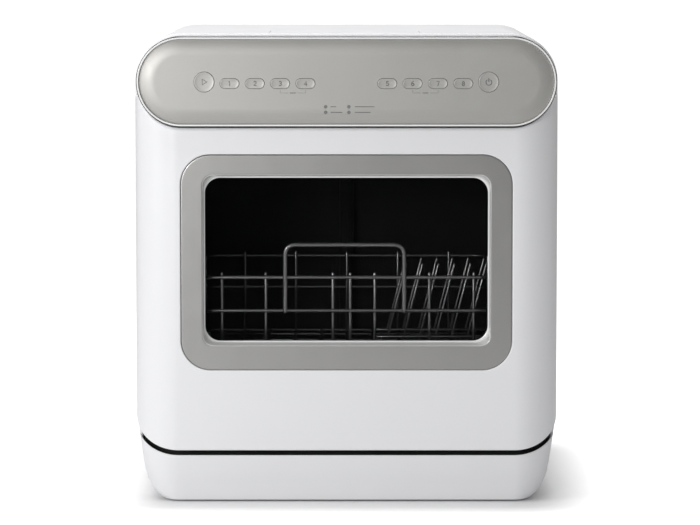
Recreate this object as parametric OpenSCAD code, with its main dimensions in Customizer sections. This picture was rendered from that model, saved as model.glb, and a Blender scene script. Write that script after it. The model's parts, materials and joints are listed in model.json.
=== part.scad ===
// Countertop dishwasher with a drop-down glass door, a sliding dish rack and a built-in water tank.
// Millimetres. X runs right, Y runs to the back, Z runs up. The origin is under the middle of the body.

/* [Cabinet] */
// Width over the side panels
body_w = 424; // [422:1:426]
// Depth from the control panel face to the rear rim
body_d = 436; // [434:1:440]
// Height from the feet to the top
body_h = 469; // [468:1:472]
// Radius of the two rounded top edges
top_r = 47; // [44:1:50]
// Thickness of the moulded outer shells
shell_t = 2.5; // [2:0.1:2.5]

/* [Door] */
// Depth of the door from its outer face to the cabinet seam
door_depth = 44; // [43:0.5:44]
// Height of the door's lower edge above the feet
door_foot = 54; // [53:0.5:56]
// Height of the dark slit between the door and the plinth
slit_h = 6; // [5:0.5:6.5]
// Gap between the door and the control head
head_gap = 2.2; // [2:0.1:2.6]
// Radius of the hinge pins
hinge_pin_r = 3; // [2.5:0.1:3.2]

/* [Window] */
// Width of the silver bezel
bezel_w = 330.6; // [328:0.2:332]
// Height of the silver bezel
bezel_h = 215.6; // [214:0.2:217]
// Width of the clear opening in the bezel
sight_w = 284.8; // [283:0.2:286]
// Height of the clear opening in the bezel
sight_h = 171.4; // [170:0.2:173]

/* [Control head] */
// Height of the capsule-shaped control head
head_h = 90.4; // [90:0.4:91.2]
// How far the head stands proud of the door
head_proud = 8; // [7:0.5:9]
// Spacing of the pill keys
key_pitch = 25.1; // [24:0.1:25.5]
// Travel of every key
key_travel = 0.8; // [0.5:0.1:0.8]

/* [Rack] */
// Width of the dish rack over its wires
rack_w = 312; // [300:1:312]
// Depth of the dish rack over its wires
rack_d = 268; // [260:1:268]
// Radius of the rack's loop wires
wire_r = 2; // [1.6:0.1:2]

/* [Hidden] */
$fn = 48;
eps = 0.01;

// Colours as the object shows them
white = "#f2f2f0";
silver = "#a9a8a2";
bright = "#d8d6d2";
black = "#1a1a1b";
dark_grey = "#3c3d3f";
steel = "#b9bcc0";
clear = [0.1, 0.1, 0.12, 0.6];
board_green = "#1f6b3a";

// Planes from front to back
half_w = body_w / 2;
face_y = -body_d / 2;
rear_y = body_d / 2;
door_y = face_y + head_proud;
seam_y = door_y + door_depth;
seam_gap = 1;
corner_steps = 8;

// The door's lower corners rise in a quarter ellipse, and the plinth's edge keeps the slit's height below it
foot_rise = 33;
side_foot = door_foot + foot_rise;
shell_foot = 85;
// Along the front the plinth curls in by no more than this
front_curl = 2;

// Control head
head_r = head_h / 2;
head_x = half_w - 3 - head_r;
head_z = body_h - 1.1 - head_r;
rim_t = 3;
rim_depth = 5;
fascia_y = face_y + 0.4;
fascia_t = 3;
fascia_gap = 0.2;
head_plate_z = head_z - head_r - 3;

// Keys: four pills on each side of the middle and one round key outside each group
key_z = head_z - 1.75;
round_key_z = head_z - 0.25;
round_key_x = 141;
round_key_r = 10;
pill_w = 19;
pill_h = 10;
pill_first_x = 40.5;
key_gap = 0.25;
key_face_y = face_y + 0.2;
key_t = 5;
key_flange_t = 1.4;
key_flange_lip = 1.5;
stem_r = 2;
board_y = -205.6;
board_t = 1.6;
switch_h = 1.6;
switch_gap = 0.2;

// Window
sight_z = 244;
bezel_z = 242.2;
bezel_r = 30;
sight_r = 10;
bezel_t = 3;
bezel_y = door_y + 0.3;
funnel_y = -190;
funnel_wall = 3.4;
funnel_drop = 4;
funnel_in = 0.6;
glass_t = 3;
inner_glass_y = -171.5;
liner_t = 2.5;
liner_foot = 80;
liner_gap = 0.5;

// Door hinge: its axis runs along X near the door's lower front edge
hinge_y = -198;
hinge_z = 68;
hinge_x = 173;
hinge_fit = 0.05;
arm_t = 3;
ear_t = 3.5;
ear_gap = 2;
eye_r = 7;

// Tub
tub_w = 328;
tub_y0 = -160;
tub_y1 = 150;
tub_z0 = 100;
tub_z1 = 358;
tub_t = 2;
mouth_w = 316;
mouth_z0 = 110;
mouth_z1 = 344;
mouth_r = 14;
flange_t = 2;
flange_half = 209;
flange_z0 = 92;
flange_z1 = 372;
seal_gap = 0.3;

// Wash parts
arm_x = 0;
arm_y = -5;
spindle_r = 8;
spindle_fit = 0.05;
arm_reach = 125;
sump_x = 43;
sump_r = 60;
sump_z0 = 40;
sump_t = 3;
filter_x = 70;
filter_r = 25;
filter_fit = 0.3;
pump_z = 50;
pump_r = 36;
shaft_r = 4;
riser_y = 134;
riser_z = 344;
pipe_r = 8;
pipe_bore = 6;
knee_r = 13;
knee_bore = 9.5;
upper_spindle_r = 6;
upper_arm_z = 320;
fan_y = 40;
fan_z = 260;
fan_r = 34;
fan_shaft_r = 3;
float_x = -132;
float_y = -122;
float_r = 12;
float_pin_r = 3;

// Filler lid and tank
lid_w = 152;
lid_x = -2;
lid_y0 = -126;
lid_axis_y = -48;
lid_axis_z = body_h - 2.2;
lid_t = 2.2;
barrel_r = 2.2;
lid_pin_r = 1.2;
lid_gap = 0.6;
ear_x = 60;
basin_z = 436;
tank_y0 = 153;
tank_y1 = 194;
tank_z0 = 150;
tank_z1 = 410;
fill_pipe_z = 446;

// Rear
panel_y = 200;
panel_t = 2;
ledge_w = 10;
ledge_t = 4;
port_z = 120;
port_start = 3;
port_length = 14;
inlet_x = -140;
inlet_r = 13.2;
drain_x = -90;
drain_r = 10;
gland_x = 150;
gland_r = 9;
gland_bore = 4;
screw_r = 2;

// Base
pan_z = 5;
foot_r = 11;
foot_h = 2.3;
foot_x = 152;
foot_front_y = -170;
foot_rear_y = 176;

// Rack
rack_y0 = -150;
rack_r = 19;
rack_floor_z = 141;
rail_1_z = 188;
rail_2_z = 222;
upright_r = 1.7;
upright_top = 226.5;
handle_x = -2;
handle_w = 125.5;
handle_top = 258;
handle_foot = 185;
handle_r = 2.5;
handle_corner = 10;
tine_pitch = 16.5;
tine_lean = 15;
wire_lap = 0.4;
weld_gap = 0.02;

// Points along a quarter or any part of an ellipse
function arc(cx, cy, rx, ry, a0, a1, n = corner_steps) =
    [for (i = [0:n]) let (a = a0 + (a1 - a0) * i / n) [cx + rx * cos(a), cy + ry * sin(a)]];

// The same points seen in a mirror at x = 0, in reverse order
function mirrored(points) = [for (i = [len(points) - 1:-1:0]) [-points[i][0], points[i][1]]];

// Half of the door's outline in elevation, drawn inward by d
function door_half(d) =
    let (
        reach = head_r + head_gap + d,
        edge = half_w - d,
        tip = min(408, head_z - sqrt(max(0, pow(reach, 2) - pow(edge - head_x, 2)))),
        start = asin((tip - head_z) / reach)
    )
    concat(
        arc(half_w - door_depth, side_foot, door_depth - d, foot_rise - d, -90, 0),
        [[edge, tip]],
        arc(head_x, head_z, reach, reach, start, -90, 12)
    );

// Plan of the door, whose two front edges are rounded to the full depth of the door
function door_plan(d, back) =
    let (front = arc(half_w - door_depth, seam_y, door_depth - d, door_depth - d, 0, -90))
    concat([[half_w - d, back]], front, mirrored(front), [[d - half_w, back]]);

// How far the plinth's sides curl in at height z, a quarter ellipse below z = 34
function plinth_curl(z) =
    let (below = max(0, 34 - z) / 32)
    18 * (1 - sqrt(max(0, 1 - below * below)));

// Inset of the plinth's sides at height z: a straight taper and the curl
function plinth_inset(z) = 12.65 * (shell_foot - z) / (shell_foot - foot_h) + plinth_curl(z);

// An outline drawn in x and z, carried from y0 to y1
module along_y(y0, y1) {
    translate([0, y1, 0])
        rotate([90, 0, 0])
            linear_extrude(y1 - y0)
                children();
}

// A round bar along X, centred on x = 0 where mid is true
module bar_x(length, r, mid = false) {
    rotate([0, 90, 0])
        cylinder(h = length, r = r, center = mid);
}

// A round bar along Y
module bar_y(length, r) {
    rotate([-90, 0, 0])
        cylinder(h = length, r = r);
}

// A round bar between two points
module rod(a, b, r, sides = 32) {
    d = b - a;
    translate(a)
        rotate([0, acos(d[2] / norm(d)), atan2(d[1], d[0])])
            cylinder(h = norm(d), r = r, $fn = sides);
}

module rounded(w, h, r) {
    polygon(concat(
        arc(w / 2 - r, h / 2 - r, r, r, 0, 90),
        arc(r - w / 2, h / 2 - r, r, r, 90, 180),
        arc(r - w / 2, r - h / 2, r, r, 180, 270),
        arc(w / 2 - r, r - h / 2, r, r, 270, 360)
    ));
}

module rounded_span(w, z0, z1, r) {
    translate([0, (z0 + z1) / 2])
        rounded(w, z1 - z0, r);
}

// A bar with round ends
module capsule(half, r) {
    polygon(concat(arc(half, 0, r, r, -90, 90, 20), arc(-half, 0, r, r, 90, 270, 20)));
}

module head_capsule(r) {
    translate([0, head_z])
        capsule(head_x, r);
}

// The cabinet's outline in elevation, drawn inward by d, from height foot upwards
module cabinet_outline(d, foot) {
    side = arc(half_w - top_r, body_h - top_r, top_r - d, top_r - d, 0, 90, 12);
    polygon(concat([[half_w - d, foot]], side, mirrored(side), [[d - half_w, foot]]));
}

module door_outline(d) {
    half = door_half(d);
    polygon(concat(half, mirrored(half)));
}

// A pipe through right-angled points, with a round knee at each bend
module pipe_run(points, r, knee, trim) {
    last = len(points) - 1;
    for (i = [0:last - 1]) {
        step = (points[i + 1] - points[i]) / norm(points[i + 1] - points[i]);
        rod(points[i] + step * (i == 0 ? 0 : trim), points[i + 1] - step * (i == last - 1 ? 0 : trim), r);
    }
    for (i = [1:1:last - 1])
        translate(points[i])
            sphere(r = knee);
}

// One flat turn of wire round a rounded rectangle
module wire_loop(w, d, r, z, wire) {
    sides = 8;
    steps = 6;
    mid_y = rack_y0 + rack_d / 2;
    rings = [
        for (q = [0:3], i = [0:steps])
            let (a = 90 * (q + i / steps))
                [
                    for (s = [0:sides - 1])
                        let (b = 360 * s / sides, reach = r + wire * cos(b))
                            [
                                (q == 0 || q == 3 ? 1 : -1) * (w / 2 - r) + reach * cos(a),
                                mid_y + (q < 2 ? 1 : -1) * (d / 2 - r) + reach * sin(a),
                                z + wire * sin(b)
                            ]
                ]
    ];
    count = len(rings);
    polyhedron(
        points = [for (ring = rings) for (p = ring) p],
        faces = [
            for (i = [0:count - 1], s = [0:sides - 1], half = [0, 1])
                let (
                    j = (i + 1) % count,
                    t = (s + 1) % sides
                )
                half == 0
                    ? [i * sides + s, i * sides + t, j * sides + s]
                    : [j * sides + s, i * sides + t, j * sides + t]
        ],
        convexity = 6
    );
}

// White wrap of sides and top, with a ledge inside its rear edge for the rear panel
module cabinet_shell() {
    color(white)
        difference() {
            union() {
                along_y(seam_y + seam_gap, rear_y)
                    difference() {
                        cabinet_outline(0, shell_foot);
                        cabinet_outline(shell_t, shell_foot - 1);
                    }
                along_y(panel_y - ledge_t, panel_y)
                    difference() {
                        cabinet_outline(shell_t - 0.5, shell_foot);
                        cabinet_outline(shell_t + ledge_w, shell_foot - 1);
                    }
            }
            translate([lid_x - lid_w / 2 - lid_gap, lid_y0 - lid_gap, body_h - 10])
                cube([lid_w + 2 * lid_gap, lid_axis_y + barrel_r - lid_y0 + 2 * lid_gap, 20]);
            translate([-31, rear_y - 8, body_h - 10])
                cube([26, 10, 20]);
            screw_places()
                translate([0, panel_y - ledge_t - 1, 0])
                    bar_y(ledge_t + 2, screw_r);
        }
}

// Eight screws round the edge of the rear panel
module screw_places() {
    x = half_w - shell_t - ledge_w / 2;
    for (side = [-1, 1]) {
        for (z = [110, 210, 310, 410])
            translate([side * x, 0, z])
                children();
    }
}

module rear_panel() {
    slot_w = 3;
    color(white)
        difference() {
            along_y(panel_y, panel_y + panel_t)
                cabinet_outline(shell_t + 0.2, shell_foot + 2);
            screw_places()
                translate([0, panel_y - 1, 0])
                    bar_y(panel_t + 2, screw_r + 0.1);
            translate([inlet_x, panel_y - 1, port_z])
                bar_y(panel_t + 2, inlet_r + 0.4);
            translate([drain_x, panel_y - 1, port_z])
                bar_y(panel_t + 2, drain_r + 0.4);
            translate([gland_x, panel_y - 1, port_z])
                bar_y(panel_t + 2, gland_r - 2);
            for (i = [0:11])
                translate([40 + 2.4 * slot_w * i - 10, panel_y - 1, 330])
                    cube([slot_w, panel_t + 2, 46]);
        }
}

module rear_screws() {
    color(steel)
        screw_places()
            union() {
                translate([0, panel_y - 8, 0])
                    bar_y(8 + panel_t + 0.1, screw_r);
                translate([0, panel_y + panel_t, 0])
                    bar_y(2.2, 4);
            }
}

// Solid of the plinth, drawn inward by d, with its lowest layer at height low
module plinth_solid(d, low, high) {
    levels = [low, 5, 9, 14, 20, 27, 34, high];
    front_r = door_depth;
    rear_r = 8;
    hull() {
        for (z = levels) {
            inset = plinth_inset(min(z, shell_foot)) + d;
            forward = max(0, plinth_curl(z) - front_curl);
            for (side = [-1, 1]) {
                translate([side * (half_w - front_r), door_y + front_r - forward, z])
                    cylinder(h = eps, r = front_r - inset, $fn = 64);
                translate([side * (half_w - rear_r - inset), rear_y - rear_r - inset, z])
                    cylinder(h = eps, r = rear_r, $fn = 32);
            }
        }
    }
}

// White plinth: a boat-shaped tray whose front edge follows the door's lower edge
module base_shell() {
    rise = arc(half_w - door_depth, side_foot - slit_h, door_depth + 2, foot_rise, -90, 0);
    color(white)
        difference() {
            plinth_solid(0, foot_h, shell_foot - eps);
            difference() {
                plinth_solid(shell_t, foot_h + shell_t, shell_foot + 1);
                translate([-half_w, panel_y - 1, shell_foot - 3])
                    cube([body_w, 30, 3]);
            }
            along_y(face_y - 5, seam_y + seam_gap)
                polygon(concat(rise, [[half_w + 2, 100], [-half_w - 2, 100]], mirrored(rise)));
            foot_places()
                cylinder(h = 20, r = 4);
        }
}

module foot_places() {
    for (x = [-foot_x, foot_x], y = [foot_front_y, foot_rear_y])
        translate([x, y, 0])
            children();
}

// Steel tray on the plinth's floor, with stands for the pumps, the heater and the tank
module base_pan() {
    pan_w = 340;
    pan_d = 367;
    color(steel)
        difference() {
            union() {
                translate([-pan_w / 2, -pan_d / 2, pan_z])
                    cube([pan_w, pan_d, 2]);
                for (y = [-pan_d / 2, pan_d / 2 - 2])
                    translate([-pan_w / 2, y, pan_z])
                        cube([pan_w, 2, 14]);
                for (x = [-136, -92])
                    translate([x, arm_y - 12, pan_z + 1])
                        cube([8, 24, pump_z - pump_r + 5 - pan_z - 1]);
                translate([-125, 75, pan_z + 1])
                    cube([30, 30, 11 - pan_z]);
                for (x = [-64, 60])
                    translate([x, 86, pan_z + 1])
                        cube([4, 20, pump_z - 18 - pan_z - 1]);
                for (x = [-168, 160])
                    translate([x, 156, pan_z + 1])
                        cube([8, 10, tank_z0 - pan_z - 1]);
            }
            foot_places()
                cylinder(h = 20, r = 4);
        }
}

module feet() {
    color(black)
        foot_places()
            union() {
                cylinder(h = foot_h, r = foot_r);
                cylinder(h = pan_z + 2, r = 4);
            }
}

// Dark strip behind the slit, between the plinth and the tub's flange
module slit_band() {
    color(black)
        difference() {
            along_y(tub_y0 - flange_t, tub_y0)
                polygon([[-200, 37], [200, 37], [208, shell_foot], [208, 91.8], [-208, 91.8], [-208, shell_foot]]);
            for (side = [-1, 1])
                translate([side * hinge_x - 3, tub_y0 - 5, 59])
                    cube([6, 10, 18]);
        }
}

module tub() {
    color(dark_grey)
        difference() {
            union() {
                along_y(tub_y0, tub_y1)
                    rounded_span(tub_w + 2 * tub_t, tub_z0 - tub_t, tub_z1 + tub_t, 16);
                along_y(tub_y0 - flange_t, tub_y0 + eps)
                    translate([0, (flange_z0 + flange_z1) / 2])
                        square([2 * flange_half, flange_z1 - flange_z0], center = true);
            }
            along_y(tub_y0 + flange_t, tub_y1 - tub_t)
                rounded_span(tub_w, tub_z0, tub_z1, 14);
            along_y(tub_y0 - 5, tub_y0 + 5)
                rounded_span(mouth_w, mouth_z0, mouth_z1, mouth_r);
            translate([sump_x, arm_y, tub_z0 - 10])
                cylinder(h = 20, r = sump_r + 0.1, $fn = 64);
            translate([arm_x, riser_y, tub_z0 - 10])
                cylinder(h = 20, r = pipe_r + 0.1);
            translate([float_x, float_y, tub_z0 - 10])
                cylinder(h = 20, r = float_pin_r + eps);
            translate([tub_w / 2 - 5, fan_y, fan_z])
                bar_x(15, 14);
            translate([-15.3, tub_y0 - 10, 359.7])
                cube([30.6, 20, 10.6]);
            translate([70, tub_y0 - 10, 366])
                bar_y(20, 1.9);
        }
}

module tub_seal() {
    color(black)
        along_y(seam_y + seal_gap, tub_y0 - flange_t)
            difference() {
                rounded_span(mouth_w + 22, mouth_z0 - 11, mouth_z1 + 11, mouth_r + 10);
                rounded_span(mouth_w + 6, mouth_z0 - 3, mouth_z1 + 3, mouth_r + 2);
            }
}

// Two ledges in the tub that the rack slides on
module rack_rails() {
    color(steel)
        for (side = [-1, 1])
            translate([side * (tub_w / 2 - 8) - 8, tub_y0 + 6, 134.5])
                cube([16, 290, 4]);
}

// Capsule-shaped boss on a plate that closes the cabinet's front above the door
module head_housing() {
    color(white)
        difference() {
            union() {
                along_y(face_y + rim_depth, seam_y + eps)
                    head_capsule(head_r - 1);
                along_y(seam_y, seam_y + 2.5)
                    cabinet_outline(shell_t + 0.3, head_plate_z);
            }
            along_y(face_y + rim_depth + 2, seam_y + 5)
                head_capsule(head_r - 1 - shell_t);
            along_y(face_y, face_y + 20)
                head_capsule(head_r - 6);
        }
    color(white)
        for (side = [-1, 1])
            translate([side * 148 - 1.5, board_y + board_t, head_z - head_r + 1 + shell_t])
                cube([3, 14, head_h - 2 * (1 + shell_t)]);
}

module head_rim() {
    color(bright)
        along_y(face_y, face_y + rim_depth)
            difference() {
                head_capsule(head_r);
                head_capsule(head_r - rim_t);
            }
}

// Where the pill keys sit, counted from the left
function pill_x(i) = i < 4 ? -pill_first_x - (3 - i) * key_pitch : pill_first_x + (i - 4) * key_pitch;

module fascia() {
    color(silver)
        difference() {
            along_y(fascia_y, fascia_y + fascia_t)
                head_capsule(head_r - rim_t - fascia_gap);
            along_y(fascia_y - 1, fascia_y + fascia_t + 1) {
                for (i = [0:7])
                    translate([pill_x(i), key_z])
                        capsule((pill_w - pill_h) / 2, pill_h / 2 + key_gap);
            }
            for (side = [-1, 1])
                translate([side * round_key_x, fascia_y - 1, round_key_z])
                    bar_y(fascia_t + 2, round_key_r + key_gap);
            lens_places()
                translate([0, fascia_y - 1, 0])
                    bar_y(fascia_t + 2, 1.7);
        }
}

// Four indicators in two rows and two columns
module lens_places() {
    for (x = [-20.5, 2.5], z = [head_z - 24.75, head_z - 30.35])
        translate([x, 0, z])
            children();
}

module indicator_lenses() {
    color("white")
        lens_places()
            translate([0, fascia_y + 0.1, 0])
                bar_y(fascia_t + 1, 1.6);
}

module control_board() {
    color(board_green)
        translate([-156, board_y, head_z - 34])
            cube([312, board_t, 50]);
    color(black) {
        for (i = [0:7])
            switch_block(pill_x(i), key_z);
        for (side = [-1, 1])
            switch_block(side * round_key_x, round_key_z);
        translate([-40, board_y + board_t, head_z - 28])
            cube([24, 16, 18]);
        translate([10, board_y + board_t, head_z - 28])
            cube([30, 12, 24]);
    }
}

// Small switch on the board's front, with its plunger just behind a key's stem
module switch_block(x, z) {
    translate([x - 3, board_y - switch_h, z - 3])
        cube([6, switch_h, 6]);
}

// Back of a key: a flange that keeps it in the panel and a stem that reaches for its switch
module key_back(x, z) {
    stem_end = board_y - switch_h - key_travel - switch_gap;
    stem_start = key_face_y + key_t + key_flange_t;
    translate([x, stem_start - 0.5, z])
        bar_y(stem_end - stem_start + 0.5, stem_r);
}

module pill_key(i) {
    x = pill_x(i);
    half = (pill_w - pill_h) / 2;
    color(silver)
        union() {
            along_y(key_face_y, key_face_y + key_t)
                translate([x, key_z])
                    capsule(half, pill_h / 2);
            along_y(key_face_y + key_t - eps, key_face_y + key_t + key_flange_t)
                translate([x, key_z])
                    capsule(half, pill_h / 2 + key_flange_lip);
            key_back(x, key_z);
        }
}

module round_key(side) {
    color(silver)
        union() {
            translate([side * round_key_x, key_face_y, round_key_z])
                bar_y(key_t, round_key_r);
            translate([side * round_key_x, key_face_y + key_t - eps, round_key_z])
                bar_y(key_flange_t + eps, round_key_r + key_flange_lip);
            key_back(side * round_key_x, round_key_z);
        }
}

// Basin under the lid, with two ears that carry the lid's pin
module filler_basin() {
    color(white)
        difference() {
            union() {
                translate([lid_x - 72, lid_y0 + 4, basin_z])
                    cube([144, lid_axis_y + 7 - lid_y0 - 4, body_h - 4.5 - basin_z]);
                translate([lid_x - 82, lid_y0 - 6, body_h - 4.5])
                    cube([164, lid_axis_y + 12 - lid_y0 + 6, 1.9]);
            }
            translate([lid_x - 70, lid_y0 + 6, basin_z + 2])
                cube([140, lid_axis_y + 5 - lid_y0 - 6, 60]);
            translate([lid_x - 77, lid_axis_y - 3.5, body_h - 5])
                cube([154, 6.8, 10]);
            translate([0, lid_axis_y - 2, fill_pipe_z])
                bar_y(20, pipe_r);
        }
    color(white)
        difference() {
            for (side = [-1, 1]) {
                translate([lid_x + side * ear_x - 2, lid_axis_y - 2.4, basin_z + 1.99])
                    cube([4, 7.5, 28 - 2]);
                translate([lid_x + side * ear_x - 2, lid_axis_y - 2.4, basin_z + 27.9])
                    cube([4, 4.8, lid_axis_z + 1.9 - basin_z - 27.9]);
            }
            translate([lid_x - 80, lid_axis_y, lid_axis_z])
                bar_x(160, lid_pin_r + hinge_fit);
        }
}

// Lid over the filler, with its hinge barrel and pin along the rear edge
module filler_lid() {
    color(white)
        translate([lid_x, 0, 0])
            union() {
                difference() {
                    union() {
                        translate([-lid_w / 2, lid_y0, body_h - lid_t])
                            cube([lid_w, lid_axis_y - lid_y0, lid_t]);
                        translate([0, lid_axis_y, lid_axis_z])
                            bar_x(lid_w, barrel_r, mid = true);
                    }
                    for (side = [-1, 1])
                        translate([side * ear_x - 2.4, lid_axis_y - 3.2, body_h - 8])
                            cube([4.8, 10, 16]);
                }
                translate([0, lid_axis_y, lid_axis_z])
                    bar_x(2 * ear_x + 8, lid_pin_r, mid = true);
            }
}

module filler_tube() {
    points = [[0, lid_axis_y + 5, fill_pipe_z], [0, 174, fill_pipe_z], [0, 174, tank_z1 - 2]];
    color(dark_grey)
        difference() {
            pipe_run(points, pipe_r, knee_r, 9);
            pipe_run([points[0] - [0, 1, 0], points[1], points[2] - [0, 0, 1]], pipe_bore, knee_bore, 6.5);
        }
}

module water_tank() {
    color([0.8, 0.85, 0.9, 0.7])
        difference() {
            translate([-190, tank_y0, tank_z0])
                cube([380, tank_y1 - tank_y0, tank_z1 - tank_z0]);
            translate([-187.5, tank_y0 + shell_t, tank_z0 + shell_t])
                cube([375, tank_y1 - tank_y0 - 2 * shell_t, tank_z1 - tank_z0 - 2 * shell_t]);
            translate([0, 174, tank_z1 - 10])
                cylinder(h = 20, r = pipe_r);
        }
}

// Rear inlet valve: a threaded port through the panel, a body and a solenoid behind it
module inlet_valve() {
    color(white)
        difference() {
            union() {
                translate([inlet_x, panel_y - 1, port_z])
                    bar_y(port_start + 1, inlet_r - 1.2);
                translate([inlet_x, panel_y + port_start, port_z])
                    bar_y(port_length, inlet_r);
                translate([inlet_x - 16, panel_y - 18, port_z - 16])
                    cube([32, 17.9, 32]);
                translate([inlet_x, panel_y - 10, port_z - 50])
                    cylinder(h = 40, r = 8);
            }
            translate([inlet_x, panel_y - 10, port_z])
                bar_y(40, 9);
        }
}

module drain_port() {
    color(dark_grey)
        difference() {
            union() {
                translate([drain_x, 160, port_z])
                    bar_y(panel_y + port_start - 160, drain_r - 1);
                translate([drain_x, panel_y + port_start, port_z])
                    bar_y(port_length, drain_r);
                translate([drain_x, panel_y - 4, port_z])
                    bar_y(4, drain_r + 4);
            }
            translate([drain_x, 150, port_z])
                bar_y(80, 7.5);
        }
}

module cord_gland() {
    color(black)
        difference() {
            union() {
                translate([gland_x, panel_y - 5, port_z])
                    bar_y(12, gland_r - 2);
                translate([gland_x, panel_y + panel_t, port_z])
                    bar_y(3, gland_r + 2);
                translate([gland_x, panel_y - 5, port_z])
                    bar_y(5, gland_r + 2);
            }
            translate([gland_x, panel_y - 10, port_z])
                bar_y(40, gland_bore);
        }
}

// Bowl under the tub, whose deck carries the spray arm's spindle and the filter well
module sump() {
    deck = 3;
    color(dark_grey)
        difference() {
            union() {
                translate([sump_x, arm_y, sump_z0])
                    cylinder(h = tub_z0 - sump_z0, r = sump_r, $fn = 64);
                translate([arm_x, arm_y, tub_z0 - 1])
                    cylinder(h = 25, r = spindle_r);
                translate([arm_x, arm_y, tub_z0 - 1])
                    cylinder(h = 7, r = spindle_r + 4);
                translate([-51, arm_y, pump_z])
                    bar_x(20 + sump_x - sump_r + 33, 11);
            }
            translate([sump_x, arm_y, sump_z0 + sump_t])
                cylinder(h = tub_z0 - sump_z0 - sump_t - deck, r = sump_r - sump_t, $fn = 64);
            translate([filter_x, arm_y, tub_z0 - 10])
                cylinder(h = 20, r = filter_r + filter_fit);
            translate([arm_x, arm_y, tub_z0 - 10])
                cylinder(h = 60, r = 5);
            translate([-60, arm_y, pump_z])
                bar_x(60, 8.5);
        }
}

module fine_filter() {
    color(steel)
        difference() {
            translate([filter_x, arm_y, tub_z0])
                cylinder(h = 1.2, r = 44);
            translate([filter_x, arm_y, tub_z0 - 1])
                cylinder(h = 4, r = filter_r + filter_fit);
            for (a = [0:30:330])
                translate([filter_x, arm_y, tub_z0 - 1])
                    rotate([0, 0, a])
                        translate([29, -1.5, 0])
                            cube([11, 3, 4]);
        }
}

// Cup with a slotted wall and a grip, which a quarter turn locks into the sump's deck
module coarse_filter() {
    color(dark_grey)
        translate([filter_x, arm_y, 0])
            union() {
                difference() {
                    translate([0, 0, 66])
                        cylinder(h = tub_z0 + 0.5 - 66, r = filter_r);
                    translate([0, 0, 68])
                        cylinder(h = tub_z0 - 4 - 68, r = filter_r - 2);
                    translate([0, 0, tub_z0 - 2])
                        cylinder(h = 6, r = filter_r - 3);
                    for (a = [0:45:315])
                        rotate([0, 0, a])
                            translate([filter_r - 5, -3, 72])
                                cube([10, 6, 16]);
                    for (a = [0:60:300])
                        rotate([0, 0, a])
                            translate([13, 0, tub_z0 - 6])
                                cylinder(h = 10, r = 4);
                }
                translate([-18, -2, tub_z0 - 3])
                    cube([36, 4, 7]);
            }
}

// Pump with its motor; the impeller turns on the motor's shaft inside the volute
module wash_pump() {
    front = -51;
    depth = 24;
    color(dark_grey)
        difference() {
            union() {
                translate([front - depth, arm_y, pump_z])
                    bar_x(depth, pump_r);
                translate([-150, arm_y, pump_z])
                    bar_x(front - depth + 150.5, pump_r - 5);
            }
            translate([front - depth + 3, arm_y, pump_z])
                bar_x(depth - 6, pump_r - 3);
            translate([front - 10, arm_y, pump_z])
                bar_x(20, 11);
        }
    color(steel)
        translate([front - depth + 2.9, arm_y, pump_z])
            bar_x(14, shaft_r);
}

module pump_impeller() {
    color(white)
        translate([-71, arm_y, pump_z])
            difference() {
                union() {
                    bar_x(2, 27);
                    bar_x(13, 8);
                    for (a = [0:60:300])
                        rotate([a, 0, 0])
                            translate([0, -1, 6])
                                cube([10, 2, 20]);
                }
                translate([-1, 0, 0])
                    bar_x(20, shaft_r + spindle_fit);
            }
}

module drain_pump() {
    color(dark_grey)
        union() {
            translate([-110, 90, 20])
                cylinder(h = 50, r = 22);
            translate([-110, 90, 12])
                cylinder(h = 8.1, r = 26);
            translate([-110, 111, 30])
                bar_y(18, 8);
        }
}

module water_heater() {
    color(steel)
        union() {
            translate([-60, 96, pump_z])
                bar_x(120, 14);
            for (x = [-64, 60])
                translate([x, 96, pump_z])
                    bar_x(4, 18);
            for (x = [-72, 64])
                translate([x, 96, pump_z])
                    bar_x(8, 4);
        }
}

// Pipe from the sump, up the tub's back wall and forward under its roof to the upper arm
module riser_pipe() {
    inner_y = arm_y + sqrt(pow(sump_r, 2) - pow(sump_x, 2));
    points = [
        [arm_x, inner_y - 2, 80],
        [arm_x, riser_y, 80],
        [arm_x, riser_y, riser_z],
        [arm_x, arm_y, riser_z],
        [arm_x, arm_y, upper_arm_z + 14]
    ];
    color(dark_grey)
        difference() {
            union() {
                pipe_run(points, pipe_r, knee_r, 9);
                translate([arm_x, arm_y, upper_arm_z - 4])
                    cylinder(h = 20, r = upper_spindle_r);
                translate([arm_x, arm_y, upper_arm_z - 6])
                    cylinder(h = 2.1, r = upper_spindle_r + 4);
            }
            pipe_run(
                concat([points[0] - [0, 3, 0]], [points[1], points[2], points[3]], [points[4] + [0, 0, 2]]),
                pipe_bore, knee_bore, 6.5
            );
            translate([sump_x, arm_y, 60])
                cylinder(h = 40, r = sump_r + 0.05, $fn = 64);
        }
}

// A spray arm's outline seen from above
module arm_plan(reach, root, tip) {
    polygon(concat(
        arc(reach - tip, 0, tip, tip, -90, 90, 10),
        [[0, root]],
        arc(tip - reach, 0, tip, tip, 90, 270, 10),
        [[0, -root]]
    ));
}

module spray_arm(z, reach, hub_r, bore, jets) {
    difference() {
        translate([arm_x, arm_y, z])
            union() {
                linear_extrude(9)
                    arm_plan(reach, 17, 8);
                cylinder(h = 13, r = hub_r);
            }
        translate([arm_x, arm_y, z - 1])
            cylinder(h = 20, r = bore);
        for (side = [-1, 1], i = [1:jets])
            translate([arm_x + side * (reach - 12 * i), arm_y + side * (i % 2 == 0 ? 2.5 : -2.5), z + 4.5])
                cylinder(h = 10, r = 1.4);
    }
}

module lower_spray_arm() {
    color(dark_grey)
        spray_arm(108, arm_reach, 15, spindle_r + spindle_fit, 7);
}

module upper_spray_arm() {
    color(dark_grey)
        spray_arm(upper_arm_z - 3.6, arm_reach - 15, 12, upper_spindle_r + spindle_fit, 6);
}

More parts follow.
